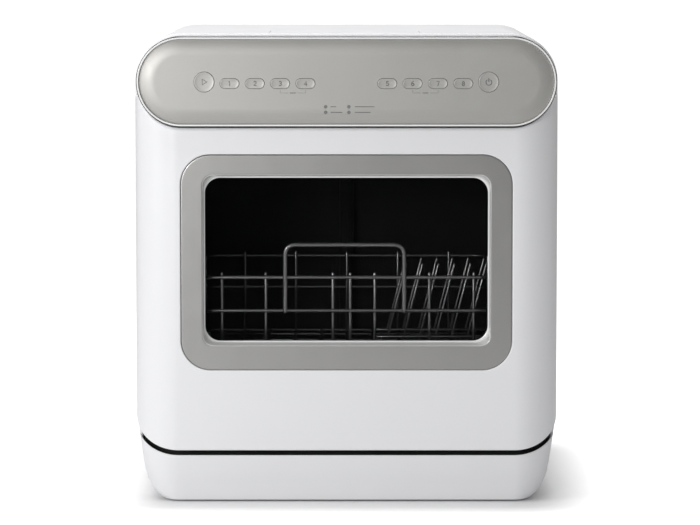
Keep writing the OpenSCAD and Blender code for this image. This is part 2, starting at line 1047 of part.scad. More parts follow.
// Fan beside the tub, blowing through a hole in the tub's wall
module fan_housing() {
    start = tub_w / 2 + tub_t;
    color(dark_grey)
        difference() {
            translate([start, fan_y, fan_z])
                bar_x(34, fan_r + 8);
            translate([start + 2.5, fan_y, fan_z])
                bar_x(29, fan_r + 5);
            translate([start - 1, fan_y, fan_z])
                bar_x(10, 14);
        }
    color(steel)
        translate([start + 12, fan_y, fan_z])
            bar_x(20, fan_shaft_r);
}

module fan_wheel() {
    blades = 12;
    color(white)
        translate([tub_w / 2 + tub_t + 8, fan_y, fan_z])
            difference() {
                union() {
                    translate([16, 0, 0])
                        bar_x(2, fan_r);
                    translate([2, 0, 0])
                        bar_x(15, 7);
                    for (i = [0:blades - 1])
                        rotate([360 * i / blades, 0, 0])
                            translate([0, -0.8, fan_r - 9])
                                cube([17, 1.6, 8]);
                }
                translate([3, 0, 0])
                    bar_x(30, fan_shaft_r + spindle_fit);
            }
}

// Float on a pin in the tub's corner, which lifts with the water
module float() {
    color(white)
        translate([float_x, float_y, tub_z0 + 1])
            difference() {
                cylinder(h = 14, r = float_r);
                translate([0, 0, -1])
                    cylinder(h = 20, r = float_pin_r + spindle_fit);
                difference() {
                    translate([0, 0, -1])
                        cylinder(h = 11, r = float_r - 2);
                    translate([0, 0, -2])
                        cylinder(h = 13, r = float_pin_r + 2);
                }
            }
}

// Steel arms on the base that reach into the door and carry its pins
module hinge_brackets() {
    color(steel)
        for (side = [-1, 1])
            translate([side * hinge_x - arm_t / 2, 0, 0])
                difference() {
                    union() {
                        translate([0, hinge_y, hinge_z])
                            bar_x(arm_t, eye_r);
                        translate([0, hinge_y, hinge_z - 6])
                            cube([arm_t, 56, 12]);
                        translate([0, -158, pan_z + 2])
                            cube([arm_t, 16, hinge_z - 2 - pan_z]);
                        translate([side > 0 ? -18 : 0, -158, pan_z + 2])
                            cube([arm_t + 18, 40, 3]);
                    }
                    translate([-1, hinge_y, hinge_z])
                        bar_x(arm_t + 2, hinge_pin_r + hinge_fit);
                }
}

module door_switch() {
    color(black)
        union() {
            translate([60, tub_y0 + 0.1, 362])
                cube([20, 14, 10]);
            translate([70, seam_y + 0.8, 366])
                bar_y(tub_y0 - seam_y, 1.5);
        }
}

module latch_magnet() {
    color(steel)
        translate([-15, seam_y + 0.4, 360])
            cube([30, 12, 10]);
}

// Outer door moulding, open at the back, with ears for the hinge pins and slots for the hinge arms
module door_skin() {
    color(white)
        difference() {
            union() {
                difference() {
                    door_block(0, seam_y);
                    door_block(shell_t, seam_y + 10);
                }
                for (side = [-1, 1], out = [-1, 1])
                    hinge_ear(side * hinge_x + out * (arm_t / 2 + ear_gap / 2 + ear_t / 2 + 0.5));
            }
            along_y(face_y, funnel_y)
                translate([0, bezel_z])
                    rounded(bezel_w + 0.8, bezel_h + 0.8, bezel_r + 0.4);
            for (side = [-1, 1]) {
                translate([side * hinge_x - 3.5, hinge_y - 9, door_foot - 1])
                    cube([7, 60, 6]);
                translate([side * hinge_x, hinge_y, hinge_z])
                    bar_x(30, hinge_pin_r, mid = true);
            }
        }
}

module door_block(d, back) {
    intersection() {
        linear_extrude(body_h)
            polygon(door_plan(d, back));
        along_y(face_y, back + 1)
            door_outline(d);
    }
}

module hinge_ear(x) {
    translate([x - ear_t / 2, hinge_y, hinge_z])
        union() {
            bar_x(ear_t, eye_r);
            translate([0, -11, -eye_r])
                cube([ear_t, 11, 2 * eye_r]);
        }
}

// Inner door panel, drawn in from the skin, with its window and a pocket for the strike
module door_liner() {
    color(bright)
        difference() {
            intersection() {
                along_y(seam_y - liner_t, seam_y)
                    door_outline(shell_t + liner_gap);
                translate([-250, -250, liner_foot])
                    cube([500, 200, 370 - liner_foot]);
            }
            along_y(seam_y - 10, seam_y + 10)
                rounded_span(300, 152, 336, 20);
            translate([-15.2, seam_y - 10, 359.8])
                cube([30.4, 20, 10.4]);
        }
}

// Silver bezel with a funnel that leads back to the dark glass
module window_bezel() {
    color(silver)
        difference() {
            union() {
                along_y(bezel_y, bezel_y + bezel_t)
                    translate([0, bezel_z])
                        rounded(bezel_w, bezel_h, bezel_r);
                along_y(bezel_y + bezel_t - eps, funnel_y)
                    translate([0, sight_z])
                        rounded(sight_w + 2 * funnel_wall, sight_h + 2 * funnel_wall, sight_r + funnel_wall);
            }
            hull() {
                along_y(bezel_y - 1, bezel_y)
                    translate([0, sight_z])
                        rounded(sight_w, sight_h, sight_r);
                along_y(funnel_y, funnel_y + 1)
                    translate([0, sight_z])
                        rounded(sight_w - 2 * funnel_in, sight_h - 2 * funnel_drop, sight_r + 6);
            }
        }
}

module window_glass() {
    color(clear)
        along_y(funnel_y, funnel_y + glass_t)
            translate([0, sight_z])
                rounded(sight_w + 20, sight_h + 16, 20);
}

module window_seal() {
    color(black)
        along_y(funnel_y + glass_t, inner_glass_y)
            translate([0, sight_z])
                difference() {
                    rounded(sight_w + 20, sight_h + 16, 20);
                    rounded(sight_w + 8, sight_h + 6, 16);
                }
}

module inner_glass() {
    color(clear)
        along_y(inner_glass_y, inner_glass_y + glass_t)
            translate([0, sight_z])
                rounded(sight_w + 24, sight_h + 20, 22);
}

module hinge_pins() {
    color(steel)
        for (side = [-1, 1])
            translate([side * hinge_x, hinge_y, hinge_z])
                bar_x(14, hinge_pin_r, mid = true);
}

module door_strike() {
    color(steel)
        translate([-15, seam_y - liner_t, 360])
            cube([30, liner_t, 10]);
}

// Rack: two loops of wire with uprights inside them
module rack_frame() {
    w = rack_w - 2 * wire_r;
    d = rack_d - 2 * wire_r;
    inside = wire_r + upright_r + weld_gap;
    front = rack_y0 + wire_r + inside;
    back = rack_y0 + rack_d - wire_r - inside;
    side = w / 2 - inside;
    color(dark_grey)
        union() {
            wire_loop(w, d, rack_r, rail_1_z, wire_r);
            wire_loop(w, d, rack_r, rail_2_z, wire_r);
            for (x = [-126.5, -82, -14, 3.6, 28.5, 84, 129])
                upright(x, front, upright_top);
            for (x = [-110, -55, 0, 55, 110])
                upright(x, back, upright_top);
            for (side_x = [-side, side], y = [-105, -50, 5, 60])
                upright(side_x, y, upright_top);
        }
}

module upright(x, y, top) {
    translate([x, y, rack_floor_z + wire_r + 0.1])
        cylinder(h = top - rack_floor_z - wire_r - 0.1, r = upright_r, $fn = 8);
}

// Rack floor: a loop with wires across it and along it
module rack_floor() {
    w = rack_w - 2 * wire_r;
    d = rack_d - 2 * wire_r;
    front = rack_y0 + wire_r;
    low = rack_floor_z - wire_r - upright_r + wire_lap;
    color(dark_grey)
        union() {
            wire_loop(w, d, rack_r, rack_floor_z, wire_r);
            for (x = [-110:27.5:110])
                rod([x, front, rack_floor_z], [x, front + d, rack_floor_z], upright_r, 8);
            for (y = [-100, 20, 80])
                rod([-w / 2 + 22, y, low + 2 * upright_r - wire_lap], [w / 2 - 22, y, low + 2 * upright_r - wire_lap], upright_r, 8);
        }
}

// Two rows of leaning tines for plates at the right of the rack
module plate_tines() {
    count = 6;
    first = 42;
    foot = rack_floor_z + 13;
    height = 76;
    color(dark_grey)
        union() {
            for (y = [-76, -6]) {
                rod([first - 10, y, foot], [first + tine_pitch * count, y, foot], upright_r, 8);
                for (i = [0:count - 1])
                    let (x = first + tine_pitch * i)
                        rod([x, y + 2.9, foot - 3], [x + height * sin(tine_lean), y + 2.9, foot + height], 1.5, 8);
            }
            for (x = [first - 6, first + tine_pitch * count - 6])
                rod([x, -82, foot - 2.9], [x, 0, foot - 2.9], upright_r, 8);
        }
}

// Arch handle in front of the rack's two loops
module rack_handle() {
    y = rack_y0 - handle_r - weld_gap;
    half = handle_w / 2 - handle_r;
    crown = handle_top - handle_r;
    color(dark_grey)
        translate([handle_x, y, 0])
            union() {
                for (side = [-1, 1]) {
                    translate([side * half, 0, handle_foot])
                        cylinder(h = crown - handle_corner - handle_foot, r = handle_r, $fn = 24);
                    translate([side * (half - handle_corner), 0, crown - handle_corner])
                        rotate([90, 0, 0])
                            rotate([0, 0, side > 0 ? 0 : 90])
                                rotate_extrude(angle = 90, $fn = 48)
                                    translate([handle_corner, 0])
                                        circle(r = handle_r, $fn = 24);
                }
                translate([0, 0, crown])
                    bar_x(2 * (half - handle_corner), handle_r, mid = true, $fn = 24);
            }
}

cabinet_shell();
rear_panel();
rear_screws();
base_shell();
base_pan();
feet();
slit_band();
tub();
tub_seal();
rack_rails();
head_housing();
head_rim();
fascia();
control_board();
indicator_lenses();
filler_basin();
filler_tube();
water_tank();
inlet_valve();
drain_port();
cord_gland();
sump();
fine_filter();
wash_pump();
drain_pump();
water_heater();
riser_pipe();
fan_housing();
hinge_brackets();
door_switch();
latch_magnet();
door_skin();
door_liner();
window_bezel();
window_glass();
inner_glass();
window_seal();
hinge_pins();
door_strike();
lower_spray_arm();
upper_spray_arm();
pump_impeller();
fan_wheel();
coarse_filter();
float();
filler_lid();
rack_frame();
rack_floor();
plate_tines();
rack_handle();
round_key(-1);  // start_key
round_key(1);  // power_key
pill_key(0);  // key_1
pill_key(1);  // key_2
pill_key(2);  // key_3
pill_key(3);  // key_4
pill_key(4);  // key_5
pill_key(5);  // key_6
pill_key(6);  // key_7
pill_key(7);  // key_8
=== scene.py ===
"""Looks of a countertop dishwasher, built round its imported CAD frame.

Sizes are in millimetres in the classes below, and every mesh is written in metres.
X runs to the right, Y away from the front, Z up, with the object standing on Z = 0.
"""

from __future__ import annotations

import json
import logging
import math
from dataclasses import dataclass, field
from enum import Enum, IntEnum
from typing import ClassVar, Iterable, Sequence

import bmesh
import bpy
import numpy as np
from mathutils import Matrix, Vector

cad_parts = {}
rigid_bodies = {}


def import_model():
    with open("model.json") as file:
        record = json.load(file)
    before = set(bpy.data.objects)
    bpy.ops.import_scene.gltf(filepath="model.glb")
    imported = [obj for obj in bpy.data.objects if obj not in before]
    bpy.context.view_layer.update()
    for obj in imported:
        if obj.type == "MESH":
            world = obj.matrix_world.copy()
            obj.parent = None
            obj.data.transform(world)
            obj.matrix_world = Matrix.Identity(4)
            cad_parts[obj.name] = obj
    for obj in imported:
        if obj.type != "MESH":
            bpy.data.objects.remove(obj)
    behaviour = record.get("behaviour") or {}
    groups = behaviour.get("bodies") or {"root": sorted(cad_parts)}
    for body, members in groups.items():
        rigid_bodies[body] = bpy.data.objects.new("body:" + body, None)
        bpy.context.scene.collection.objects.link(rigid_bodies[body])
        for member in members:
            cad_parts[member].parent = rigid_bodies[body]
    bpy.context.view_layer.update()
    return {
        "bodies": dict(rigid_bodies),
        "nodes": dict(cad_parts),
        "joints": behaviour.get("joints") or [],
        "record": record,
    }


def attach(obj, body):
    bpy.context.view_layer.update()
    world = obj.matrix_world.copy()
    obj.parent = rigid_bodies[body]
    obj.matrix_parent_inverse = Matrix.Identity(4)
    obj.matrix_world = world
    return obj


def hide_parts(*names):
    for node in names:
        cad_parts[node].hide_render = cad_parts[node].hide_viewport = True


LOG = logging.getLogger("dishwasher")
MM = 0.001
MERGE = 2e-6
SHARP = math.radians(38.0)
Points = np.ndarray
Colour = tuple[float, float, float]
Place = tuple[float, float, float]


class Plane(Enum):
    """The plane in which a ring is drawn. Its depth runs along the third axis."""

    FRONT = "x and z, depth along y"
    TOP = "x and y, depth along z"
    SIDE = "y and z, depth along x"


class Kind(Enum):
    """What a finish is made of, which chooses the shader's structure."""

    MOULDED = "moulded plastic"
    COATED = "coated wire"
    METAL = "metal"
    RUBBER = "rubber"
    GLASS = "glass"
    PRINT = "printed mark"


# Surfaces


@dataclass
class Skin:
    """A piece of surface: points in millimetres and the faces between them."""

    points: Points
    faces: list[tuple[int, ...]]

    def moved(self, offset: Sequence[float]) -> Skin:
        """Returns the same skin shifted by offset in millimetres."""
        return Skin(self.points + np.asarray(offset, float), self.faces)


def placed(u: Points, v: Points, w: Points, plane: Plane) -> Points:
    """Turns ring coordinates into x, y and z.

    Args:
        u: First coordinate in the ring's plane.
        v: Second coordinate in the ring's plane.
        w: Depth of the ring.
        plane: The ring's plane.

    Returns:
        An array with one more axis, of length 3.
    """
    u, v, w = np.broadcast_arrays(u, v, w)
    order = {Plane.FRONT: (u, w, v), Plane.TOP: (u, v, w), Plane.SIDE: (w, u, v)}[plane]
    return np.stack(order, axis=-1)


def soften(corners: Points, setback: Points | float, steps: int = 5, closed: bool = True) -> Points:
    """Rounds the corners of a polyline.

    Corner P becomes the curve (1-t)^2 A + 2t(1-t) P + t^2 B, for t from 0 to 1, where A and B lie a setback
    before and after P on the lines that meet in it.

    Args:
        corners: The polyline's corners, one per row.
        setback: Distance from each corner at which its curve starts.
        steps: Number of stretches in each curve.
        closed: Whether the last corner joins the first.

    Returns:
        The points of the rounded polyline.
    """
    p = np.asarray(corners, float)
    c = np.broadcast_to(np.asarray(setback, float), (len(p),)).copy()
    before, after = np.roll(p, 1, axis=0) - p, np.roll(p, -1, axis=0) - p
    if not closed:
        c[0] = c[-1] = 0.0
    before_len = np.maximum(np.linalg.norm(before, axis=1), 1e-9)[:, None]
    after_len = np.maximum(np.linalg.norm(after, axis=1), 1e-9)[:, None]
    a = p + before / before_len * np.minimum(c[:, None], before_len * 0.49)
    b = p + after / after_len * np.minimum(c[:, None], after_len * 0.49)
    t = np.linspace(0.0, 1.0, steps + 1)[None, :, None]
    curve = (1 - t) ** 2 * a[:, None] + 2 * t * (1 - t) * p[:, None] + t**2 * b[:, None]
    return curve.reshape(-1, p.shape[1])


def rings(
    hw: Points | float,
    hh: Points | float,
    r: Points | float,
    depth: Points | float,
    plane: Plane = Plane.FRONT,
    centre: tuple[Points | float, Points | float] = (0.0, 0.0),
    steps: int = 12,
) -> Points:
    """Rounded rectangles, one behind another.

    In each quarter the point is centre + (+-(hw - r) + r cos a, +-(hh - r) + r sin a). A radius equal to hh
    gives a bar with round ends, and one equal to both half sizes gives a circle.

    Args:
        hw: Half width of each ring.
        hh: Half height of each ring.
        r: Corner radius of each ring.
        depth: Depth of each ring.
        plane: Plane of the rings.
        centre: Centre of each ring in its plane.
        steps: Stretches in each quarter turn.

    Returns:
        An array of rings, with shape (rings, points, 3).
    """
    hw, hh, r, depth, cu, cv = np.broadcast_arrays(
        *[np.atleast_1d(np.asarray(x, float)) for x in (hw, hh, r, depth, centre[0], centre[1])]
    )
    r = np.clip(r, 0.0, np.minimum(hw, hh))
    quarter = np.repeat(np.arange(4), steps + 1)
    a = (quarter + np.tile(np.linspace(0.0, 1.0, steps + 1), 4)) * math.pi / 2
    su = np.where((quarter == 0) | (quarter == 3), 1.0, -1.0)
    sv = np.where(quarter < 2, 1.0, -1.0)
    u = cu[:, None] + su * (hw - r)[:, None] + r[:, None] * np.cos(a)
    v = cv[:, None] + sv * (hh - r)[:, None] + r[:, None] * np.sin(a)
    return placed(u, v, depth[:, None], plane)


def loft(stack: Points, closed: bool = False) -> Skin:
    """Skins a stack of rings.

    Args:
        stack: Rings with shape (rings, points, 3), each of them closed.
        closed: Whether the last ring joins the first. Otherwise a flat face closes each end.

    Returns:
        The closed skin.
    """
    k, n, _ = stack.shape
    rows = k if closed else k - 1
    i, j = np.meshgrid(np.arange(rows), np.arange(n), indexing="ij")
    i2, j2 = (i + 1) % k, (j + 1) % n
    quads = np.stack([i * n + j, i * n + j2, i2 * n + j2, i2 * n + j], axis=-1).reshape(-1, 4)
    faces: list[tuple[int, ...]] = [tuple(q) for q in quads.tolist()]
    if not closed:
        faces.append(tuple(range(n - 1, -1, -1)))
        faces.append(tuple(range((k - 1) * n, k * n)))
    return Skin(stack.reshape(-1, 3), faces)


def walled(outer: Points, inner: Points) -> Skin:
    """Joins an outer and an inner sheet with the same grid by strips along their four sides.

    Args:
        outer: Grid of points with shape (columns, rows, 3).
        inner: The same grid, a wall's thickness further in.

    Returns:
        The closed skin of the wall.
    """
    k, n, _ = outer.shape
    i, j = np.meshgrid(np.arange(k - 1), np.arange(n - 1), indexing="ij")
    quads = np.stack([i * n + j, (i + 1) * n + j, (i + 1) * n + j + 1, i * n + j + 1], axis=-1).reshape(-1, 4)
    first, last = np.arange(k) * n, (k - 1) * n + np.arange(1, n)
    back, home = np.arange(k - 2, -1, -1) * n + n - 1, np.arange(n - 2, 0, -1)
    border, size = np.concatenate([first, last, back, home]), k * n
    ahead = np.roll(border, -1)
    strips = np.stack([border, border + size, ahead + size, ahead], axis=-1)
    every = np.concatenate([quads, quads[:, ::-1] + size, strips])
    points = np.concatenate([outer.reshape(-1, 3), inner.reshape(-1, 3)])
    return Skin(points, [tuple(q) for q in every.tolist()])


def tube(path: Points, radius: float, up: Sequence[float], sides: int = 14, closed: bool = False) -> Skin:
    """A round wire along a path that lies in one plane, with round ends where it is open.

    The point at angle a of ring i is centre_i + r_i (cos a N_i + sin a B), where B is the plane's normal
    and N_i the path's normal in that plane. At an open end the rings follow a quarter circle: the centre
    moves out by r sin b and the radius is r cos b.

    Args:
        path: Centre line, one point per row.
        radius: The wire's radius.
        up: Normal of the plane in which the path lies.
        sides: Points round the wire.
        closed: Whether the path is a loop.

    Returns:
        The wire's closed skin.
    """
    p = np.asarray(path, float)
    keep = np.concatenate([[True], np.linalg.norm(np.diff(p, axis=0), axis=1) > 1e-4])
    p = p[keep]
    if closed and np.linalg.norm(p[0] - p[-1]) < 1e-4:
        p = p[:-1]
    ahead, behind = np.roll(p, -1, axis=0), np.roll(p, 1, axis=0)
    if not closed:
        ahead[-1], behind[0] = p[-1], p[0]
    step_a, step_b = ahead - p, p - behind
    step_a = step_a / np.maximum(np.linalg.norm(step_a, axis=1), 1e-9)[:, None]
    step_b = step_b / np.maximum(np.linalg.norm(step_b, axis=1), 1e-9)[:, None]
    tangent = step_a + step_b
    tangent = tangent / np.linalg.norm(tangent, axis=1)[:, None]
    radii = np.full(len(p), radius)
    if not closed:
        b = np.linspace(math.pi / 2, 0.0, 5)[:-1]
        first = p[0] - tangent[0] * radius * np.sin(b)[:, None]
        last = p[-1] + tangent[-1] * radius * np.sin(b[::-1])[:, None]
        p = np.concatenate([first, p, last])
        tangent = np.concatenate([np.repeat(tangent[:1], 4, 0), tangent, np.repeat(tangent[-1:], 4, 0)])
        radii = np.concatenate([radius * np.cos(b), radii, radius * np.cos(b[::-1])])
    bi = np.asarray(up, float) / np.linalg.norm(up)
    normal = np.cross(bi, tangent)
    a = np.linspace(0.0, 2 * math.pi, sides, endpoint=False)
    stack = p[:, None] + radii[:, None, None] * (
        np.cos(a)[None, :, None] * normal[:, None] + np.sin(a)[None, :, None] * bi
    )
    return loft(stack, closed)


def rod(start: Sequence[float], end: Sequence[float], radius: float, sides: int = 14) -> Skin:
    """A straight wire from start to end with round ends."""
    ends = np.array([start, end], float)
    along = (ends[1] - ends[0]) / np.linalg.norm(ends[1] - ends[0])
    up = np.cross(along, (0.0, 0.0, 1.0) if abs(along[2]) < 0.9 else (1.0, 0.0, 0.0))
    return tube(ends, radius, up, sides)


def slab(
    hw: float,
    hh: float,
    r: float,
    lo: float,
    hi: float,
    plane: Plane = Plane.FRONT,
    centre: tuple[float, float] = (0.0, 0.0),
    edge: float = 0.4,
    steps: int = 12,
) -> Skin:
    """A plate on a rounded rectangle between two depths, with its rims rounded.

    Args:
        hw: Half width.
        hh: Half height.
        r: Corner radius.
        lo: Lower depth.
        hi: Upper depth.
        plane: Plane of the plate.
        centre: Centre of the plate.
        edge: Rounding of both rims.
        steps: Stretches in each quarter turn.

    Returns:
        The plate's closed skin.
    """
    profile = soften(np.array([[-hh * 0.5, lo], [0, lo], [0, hi], [-hh * 0.5, hi]]), edge, 4, closed=False)
    profile = profile[(profile[:, 0] > -hh * 0.45)]
    d, depth = profile[:, 0], profile[:, 1]
    return loft(rings(hw + d, hh + d, np.maximum(r + d, 0.05), depth, plane, centre, steps))


def trim_ring(
    profile: Points,
    hw: float,
    hh: float,
    r: float,
    plane: Plane,
    centre: tuple[float, float],
    steps: int = 16,
) -> Skin:
    """Carries a closed profile of (offset, depth) round a rounded rectangle.

    Args:
        profile: Offsets outwards from the rectangle and depths, one row per point.
        hw: Half width of the rectangle.
        hh: Half height of the rectangle.
        r: Its corner radius.
        plane: Its plane.
        centre: Its centre.
        steps: Stretches in each quarter turn.

    Returns:
        The ring's closed skin.
    """
    d, depth = profile[:, 0], profile[:, 1]
    return loft(rings(hw + d, hh + d, np.maximum(r + d, 0.05), depth, plane, centre, steps), closed=True)


def revolved(profile: Points, centre: Sequence[float], plane: Plane, steps: int = 12) -> Skin:
    """Turns an open profile of (radius, depth) round an axis through centre.

    Args:
        profile: Radius and depth, from one end of the axis to the other.
        centre: Point of the axis that the depth is counted from.
        plane: Plane at right angles to the axis.
        steps: Stretches in each quarter turn.

    Returns:
        The closed skin.
    """
    radius = np.maximum(profile[:, 0], 1e-4)
    return loft(rings(radius, radius, radius, profile[:, 1], plane, (0.0, 0.0), steps)).moved(centre)


def solid(name: str, skins: Iterable[Skin], sharp: float = SHARP) -> bpy.types.Object:
    """Makes one mesh object of several skins.

    Points that meet are merged, faces without area are dropped and every skin is turned to face outwards.

    Args:
        name: The object's name.
        skins: Its closed skins.
        sharp: Angle above which an edge stays sharp.

    Returns:
        The new object, at the origin.
    """
    points, faces, start = [], [], 0
    for skin in skins:
        points.append(skin.points)
        faces.extend(tuple(k + start for k in f) for f in skin.faces)
        start += len(skin.points)
    mesh = bpy.data.meshes.new(name)
    mesh.from_pydata((np.concatenate(points) * MM).tolist(), [], faces)
    clean = bmesh.new()
    clean.from_mesh(mesh)
    bmesh.ops.remove_doubles(clean, verts=clean.verts, dist=MERGE)
    bmesh.ops.dissolve_degenerate(clean, edges=clean.edges, dist=MERGE / 4)
    bmesh.ops.recalc_face_normals(clean, faces=clean.faces)
    clean.to_mesh(mesh)
    clean.free()
    obj = bpy.data.objects.new(name, mesh)
    bpy.context.scene.collection.objects.link(obj)
    shade(obj, sharp)
    return obj


def shade(obj: bpy.types.Object, sharp: float = SHARP) -> None:
    """Shades an object smooth, with edges above an angle kept sharp."""
    mesh = obj.data
    mesh.polygons.foreach_set("use_smooth", np.ones(len(mesh.polygons), bool))
    mesh.set_sharp_from_angle(angle=sharp)
    mesh.update()


def settle(obj: bpy.types.Object) -> None:
    """Writes an object's modifiers into its mesh and removes them."""
    bpy.context.view_layer.update()
    graph = bpy.context.evaluated_depsgraph_get()
    mesh = bpy.data.meshes.new_from_object(obj.evaluated_get(graph), depsgraph=graph)
    obj.modifiers.clear()
    old, obj.data = obj.data, mesh
    bpy.data.meshes.remove(old)
    mesh.name = obj.name


def cut(obj: bpy.types.Object, skins: Sequence[Skin], bevel: float = 0.0) -> None:
    """Cuts closed skins out of an object, then softens the edges that are left.

    Args:
        obj: The object, changed in place.
        skins: What is cut away.
        bevel: Width in millimetres of the softening, or 0 for none.
    """
    tool = solid("cutting_tool", skins)
    step = obj.modifiers.new("cut", "BOOLEAN")
    step.operation, step.solver, step.object = "DIFFERENCE", "EXACT", tool
    settle(obj)
    mesh = tool.data
    bpy.data.objects.remove(tool)
    bpy.data.meshes.remove(mesh)
    shade(obj)
    if bevel:
        soft = obj.modifiers.new("soft_edge", "BEVEL")
        soft.width, soft.segments, soft.limit_method = bevel * MM, 2, "ANGLE"
        soft.angle_limit = math.radians(50)
        soft.use_clamp_overlap = True
        soft.harden_normals = False
        settle(obj)
        shade(obj)
    flat = obj.modifiers.new("even_shading", "WEIGHTED_NORMAL")
    flat.keep_sharp, flat.weight = True, 80
    settle(obj)


# Finishes


@dataclass(frozen=True)
class Finish:
    """One surface finish. Colours are linear, grain sizes are in millimetres.

    Attributes:
        name: Name of the material.
        slot: The record's material slot.
        kind: What it is made of.
        colour: Base colour.
        roughness: Mean roughness.
        grain: Size of the surface grain.
        depth: Height of the grain in micrometres.
        mottle: Share by which colour drifts over the piece.
        metallic: How metallic it is.
        coat: Weight of a clear coat.
        alpha: How opaque it is.
        brushed: Stretch of the grain along X, for brushed metal.
        dust: How much a dull film settles on faces that look up.
    """

    name: str
    slot: str
    kind: Kind
    colour: Colour
    roughness: float
    grain: float = 0.8
    depth: float = 6.0
    mottle: float = 0.02
    metallic: float = 0.0
    coat: float = 0.0
    alpha: float = 1.0
    brushed: float = 1.0
    dust: float = 0.0


SATIN_SILVER = (0.43, 0.424, 0.405)
BRUSHED_BACK = (0.385, 0.381, 0.371)
SOFT_WHITE = (0.825, 0.826, 0.84)

WHITE = Finish("gloss_white_shell", "white_shell", Kind.MOULDED, SOFT_WHITE, 0.32, 0.9, 3.0, 0.012, dust=0.25)
SILVER = Finish("satin_silver_panel", "silver_panel", Kind.METAL, SATIN_SILVER, 0.4, 0.35, 2.0, 0.02, 0.6)
BEZEL = Finish("satin_silver_bezel", "silver_panel", Kind.METAL, BRUSHED_BACK, 0.3, 0.35, 2.0, 0.02, 0.95)
KEY = Finish("satin_key_cap", "key_cap", Kind.METAL, SATIN_SILVER, 0.4, 0.35, 2.0, 0.015, 0.6)
MARK = Finish("grey_key_mark", "key_cap", Kind.PRINT, (0.16, 0.16, 0.155), 0.6, 0.3, 1.0, 0.05)
LENS = Finish("smoky_lens", "lens", Kind.MOULDED, (0.2, 0.2, 0.2), 0.3, 0.3, 1.0, 0.02, coat=0.3)
BRIGHT = Finish(
    "bright_edge_ring", "bright_rim", Kind.MOULDED, (0.86, 0.86, 0.85), 0.22, 0.9, 1.0, 0.01, coat=0.5
)
LINER = Finish("inner_door_panel", "tub_plastic", Kind.MOULDED, (0.16, 0.162, 0.168), 0.42, 0.9, 8.0, 0.04)
DARK_GLASS = Finish(
    "tinted_window", "dark_glass", Kind.GLASS, (0.002, 0.002, 0.0022), 0.07, 8.0, 0.5, 0.0, alpha=0.2
)
CLEAR_GLASS = Finish(
    "clear_inner_glass", "clear_glass", Kind.GLASS, (0.004, 0.0042, 0.0042), 0.05, 8.0, 0.5, 0.0, alpha=0.05
)
RUBBER = Finish("matte_rubber", "black_rubber", Kind.RUBBER, (0.018, 0.018, 0.018), 0.72, 0.5, 14.0, 0.1)
# Matte black: the own colour of the cord gland and the door switch, and painted shade where it fills the
# head's edge line and the slit band.
BLACK_AND_PAINTED_SHADE = Finish("matte_black_and_painted_shade", "black_plastic", Kind.MOULDED, (0.012, 0.012, 0.013), 0.6, 0.5, 8.0, 0.06)
TUB = Finish("dark_tub", "tub_plastic", Kind.MOULDED, (0.006, 0.006, 0.007), 0.78, 1.2, 8.0, 0.08)
RACK = Finish("coated_wire", "rack_coat", Kind.COATED, (0.5, 0.5, 0.505), 0.22, 0.6, 5.0, 0.05, 0.9)
STEEL = Finish(
    "plated_steel", "steel", Kind.METAL, (0.6, 0.61, 0.62), 0.36, 0.5, 4.0, 0.05, 0.95, brushed=8.0
)
GREY = Finish("grey_technical", "grey_plastic", Kind.MOULDED, (0.11, 0.113, 0.118), 0.5, 0.7, 8.0, 0.05)
NATURAL = Finish("milky_plastic", "natural_plastic", Kind.MOULDED, (0.66, 0.7, 0.71), 0.4, 1.5, 6.0, 0.03)
BOARD = Finish(
    "printed_board", "circuit_board", Kind.MOULDED, (0.012, 0.09, 0.03), 0.4, 2.0, 10.0, 0.2, coat=0.4
)
DULL_SPECULAR = {Kind.GLASS: 0.08, Kind.RUBBER: 0.35}


def shader_node(tree: bpy.types.NodeTree, kind: str, **settings: object) -> bpy.types.Node:
    """Adds a shader node to a tree and sets its named properties, such as operation or data_type."""
    made = tree.nodes.new(f"ShaderNode{kind}")
    for label, value in settings.items():
        setattr(made, label, value)
    return made


def set_inputs(target: bpy.types.Node, values: dict[str, float | Sequence[float]]) -> None:
    """Sets constants on a node's input sockets, by their labels."""
    for label, value in values.items():
        target.inputs[label].default_value = value


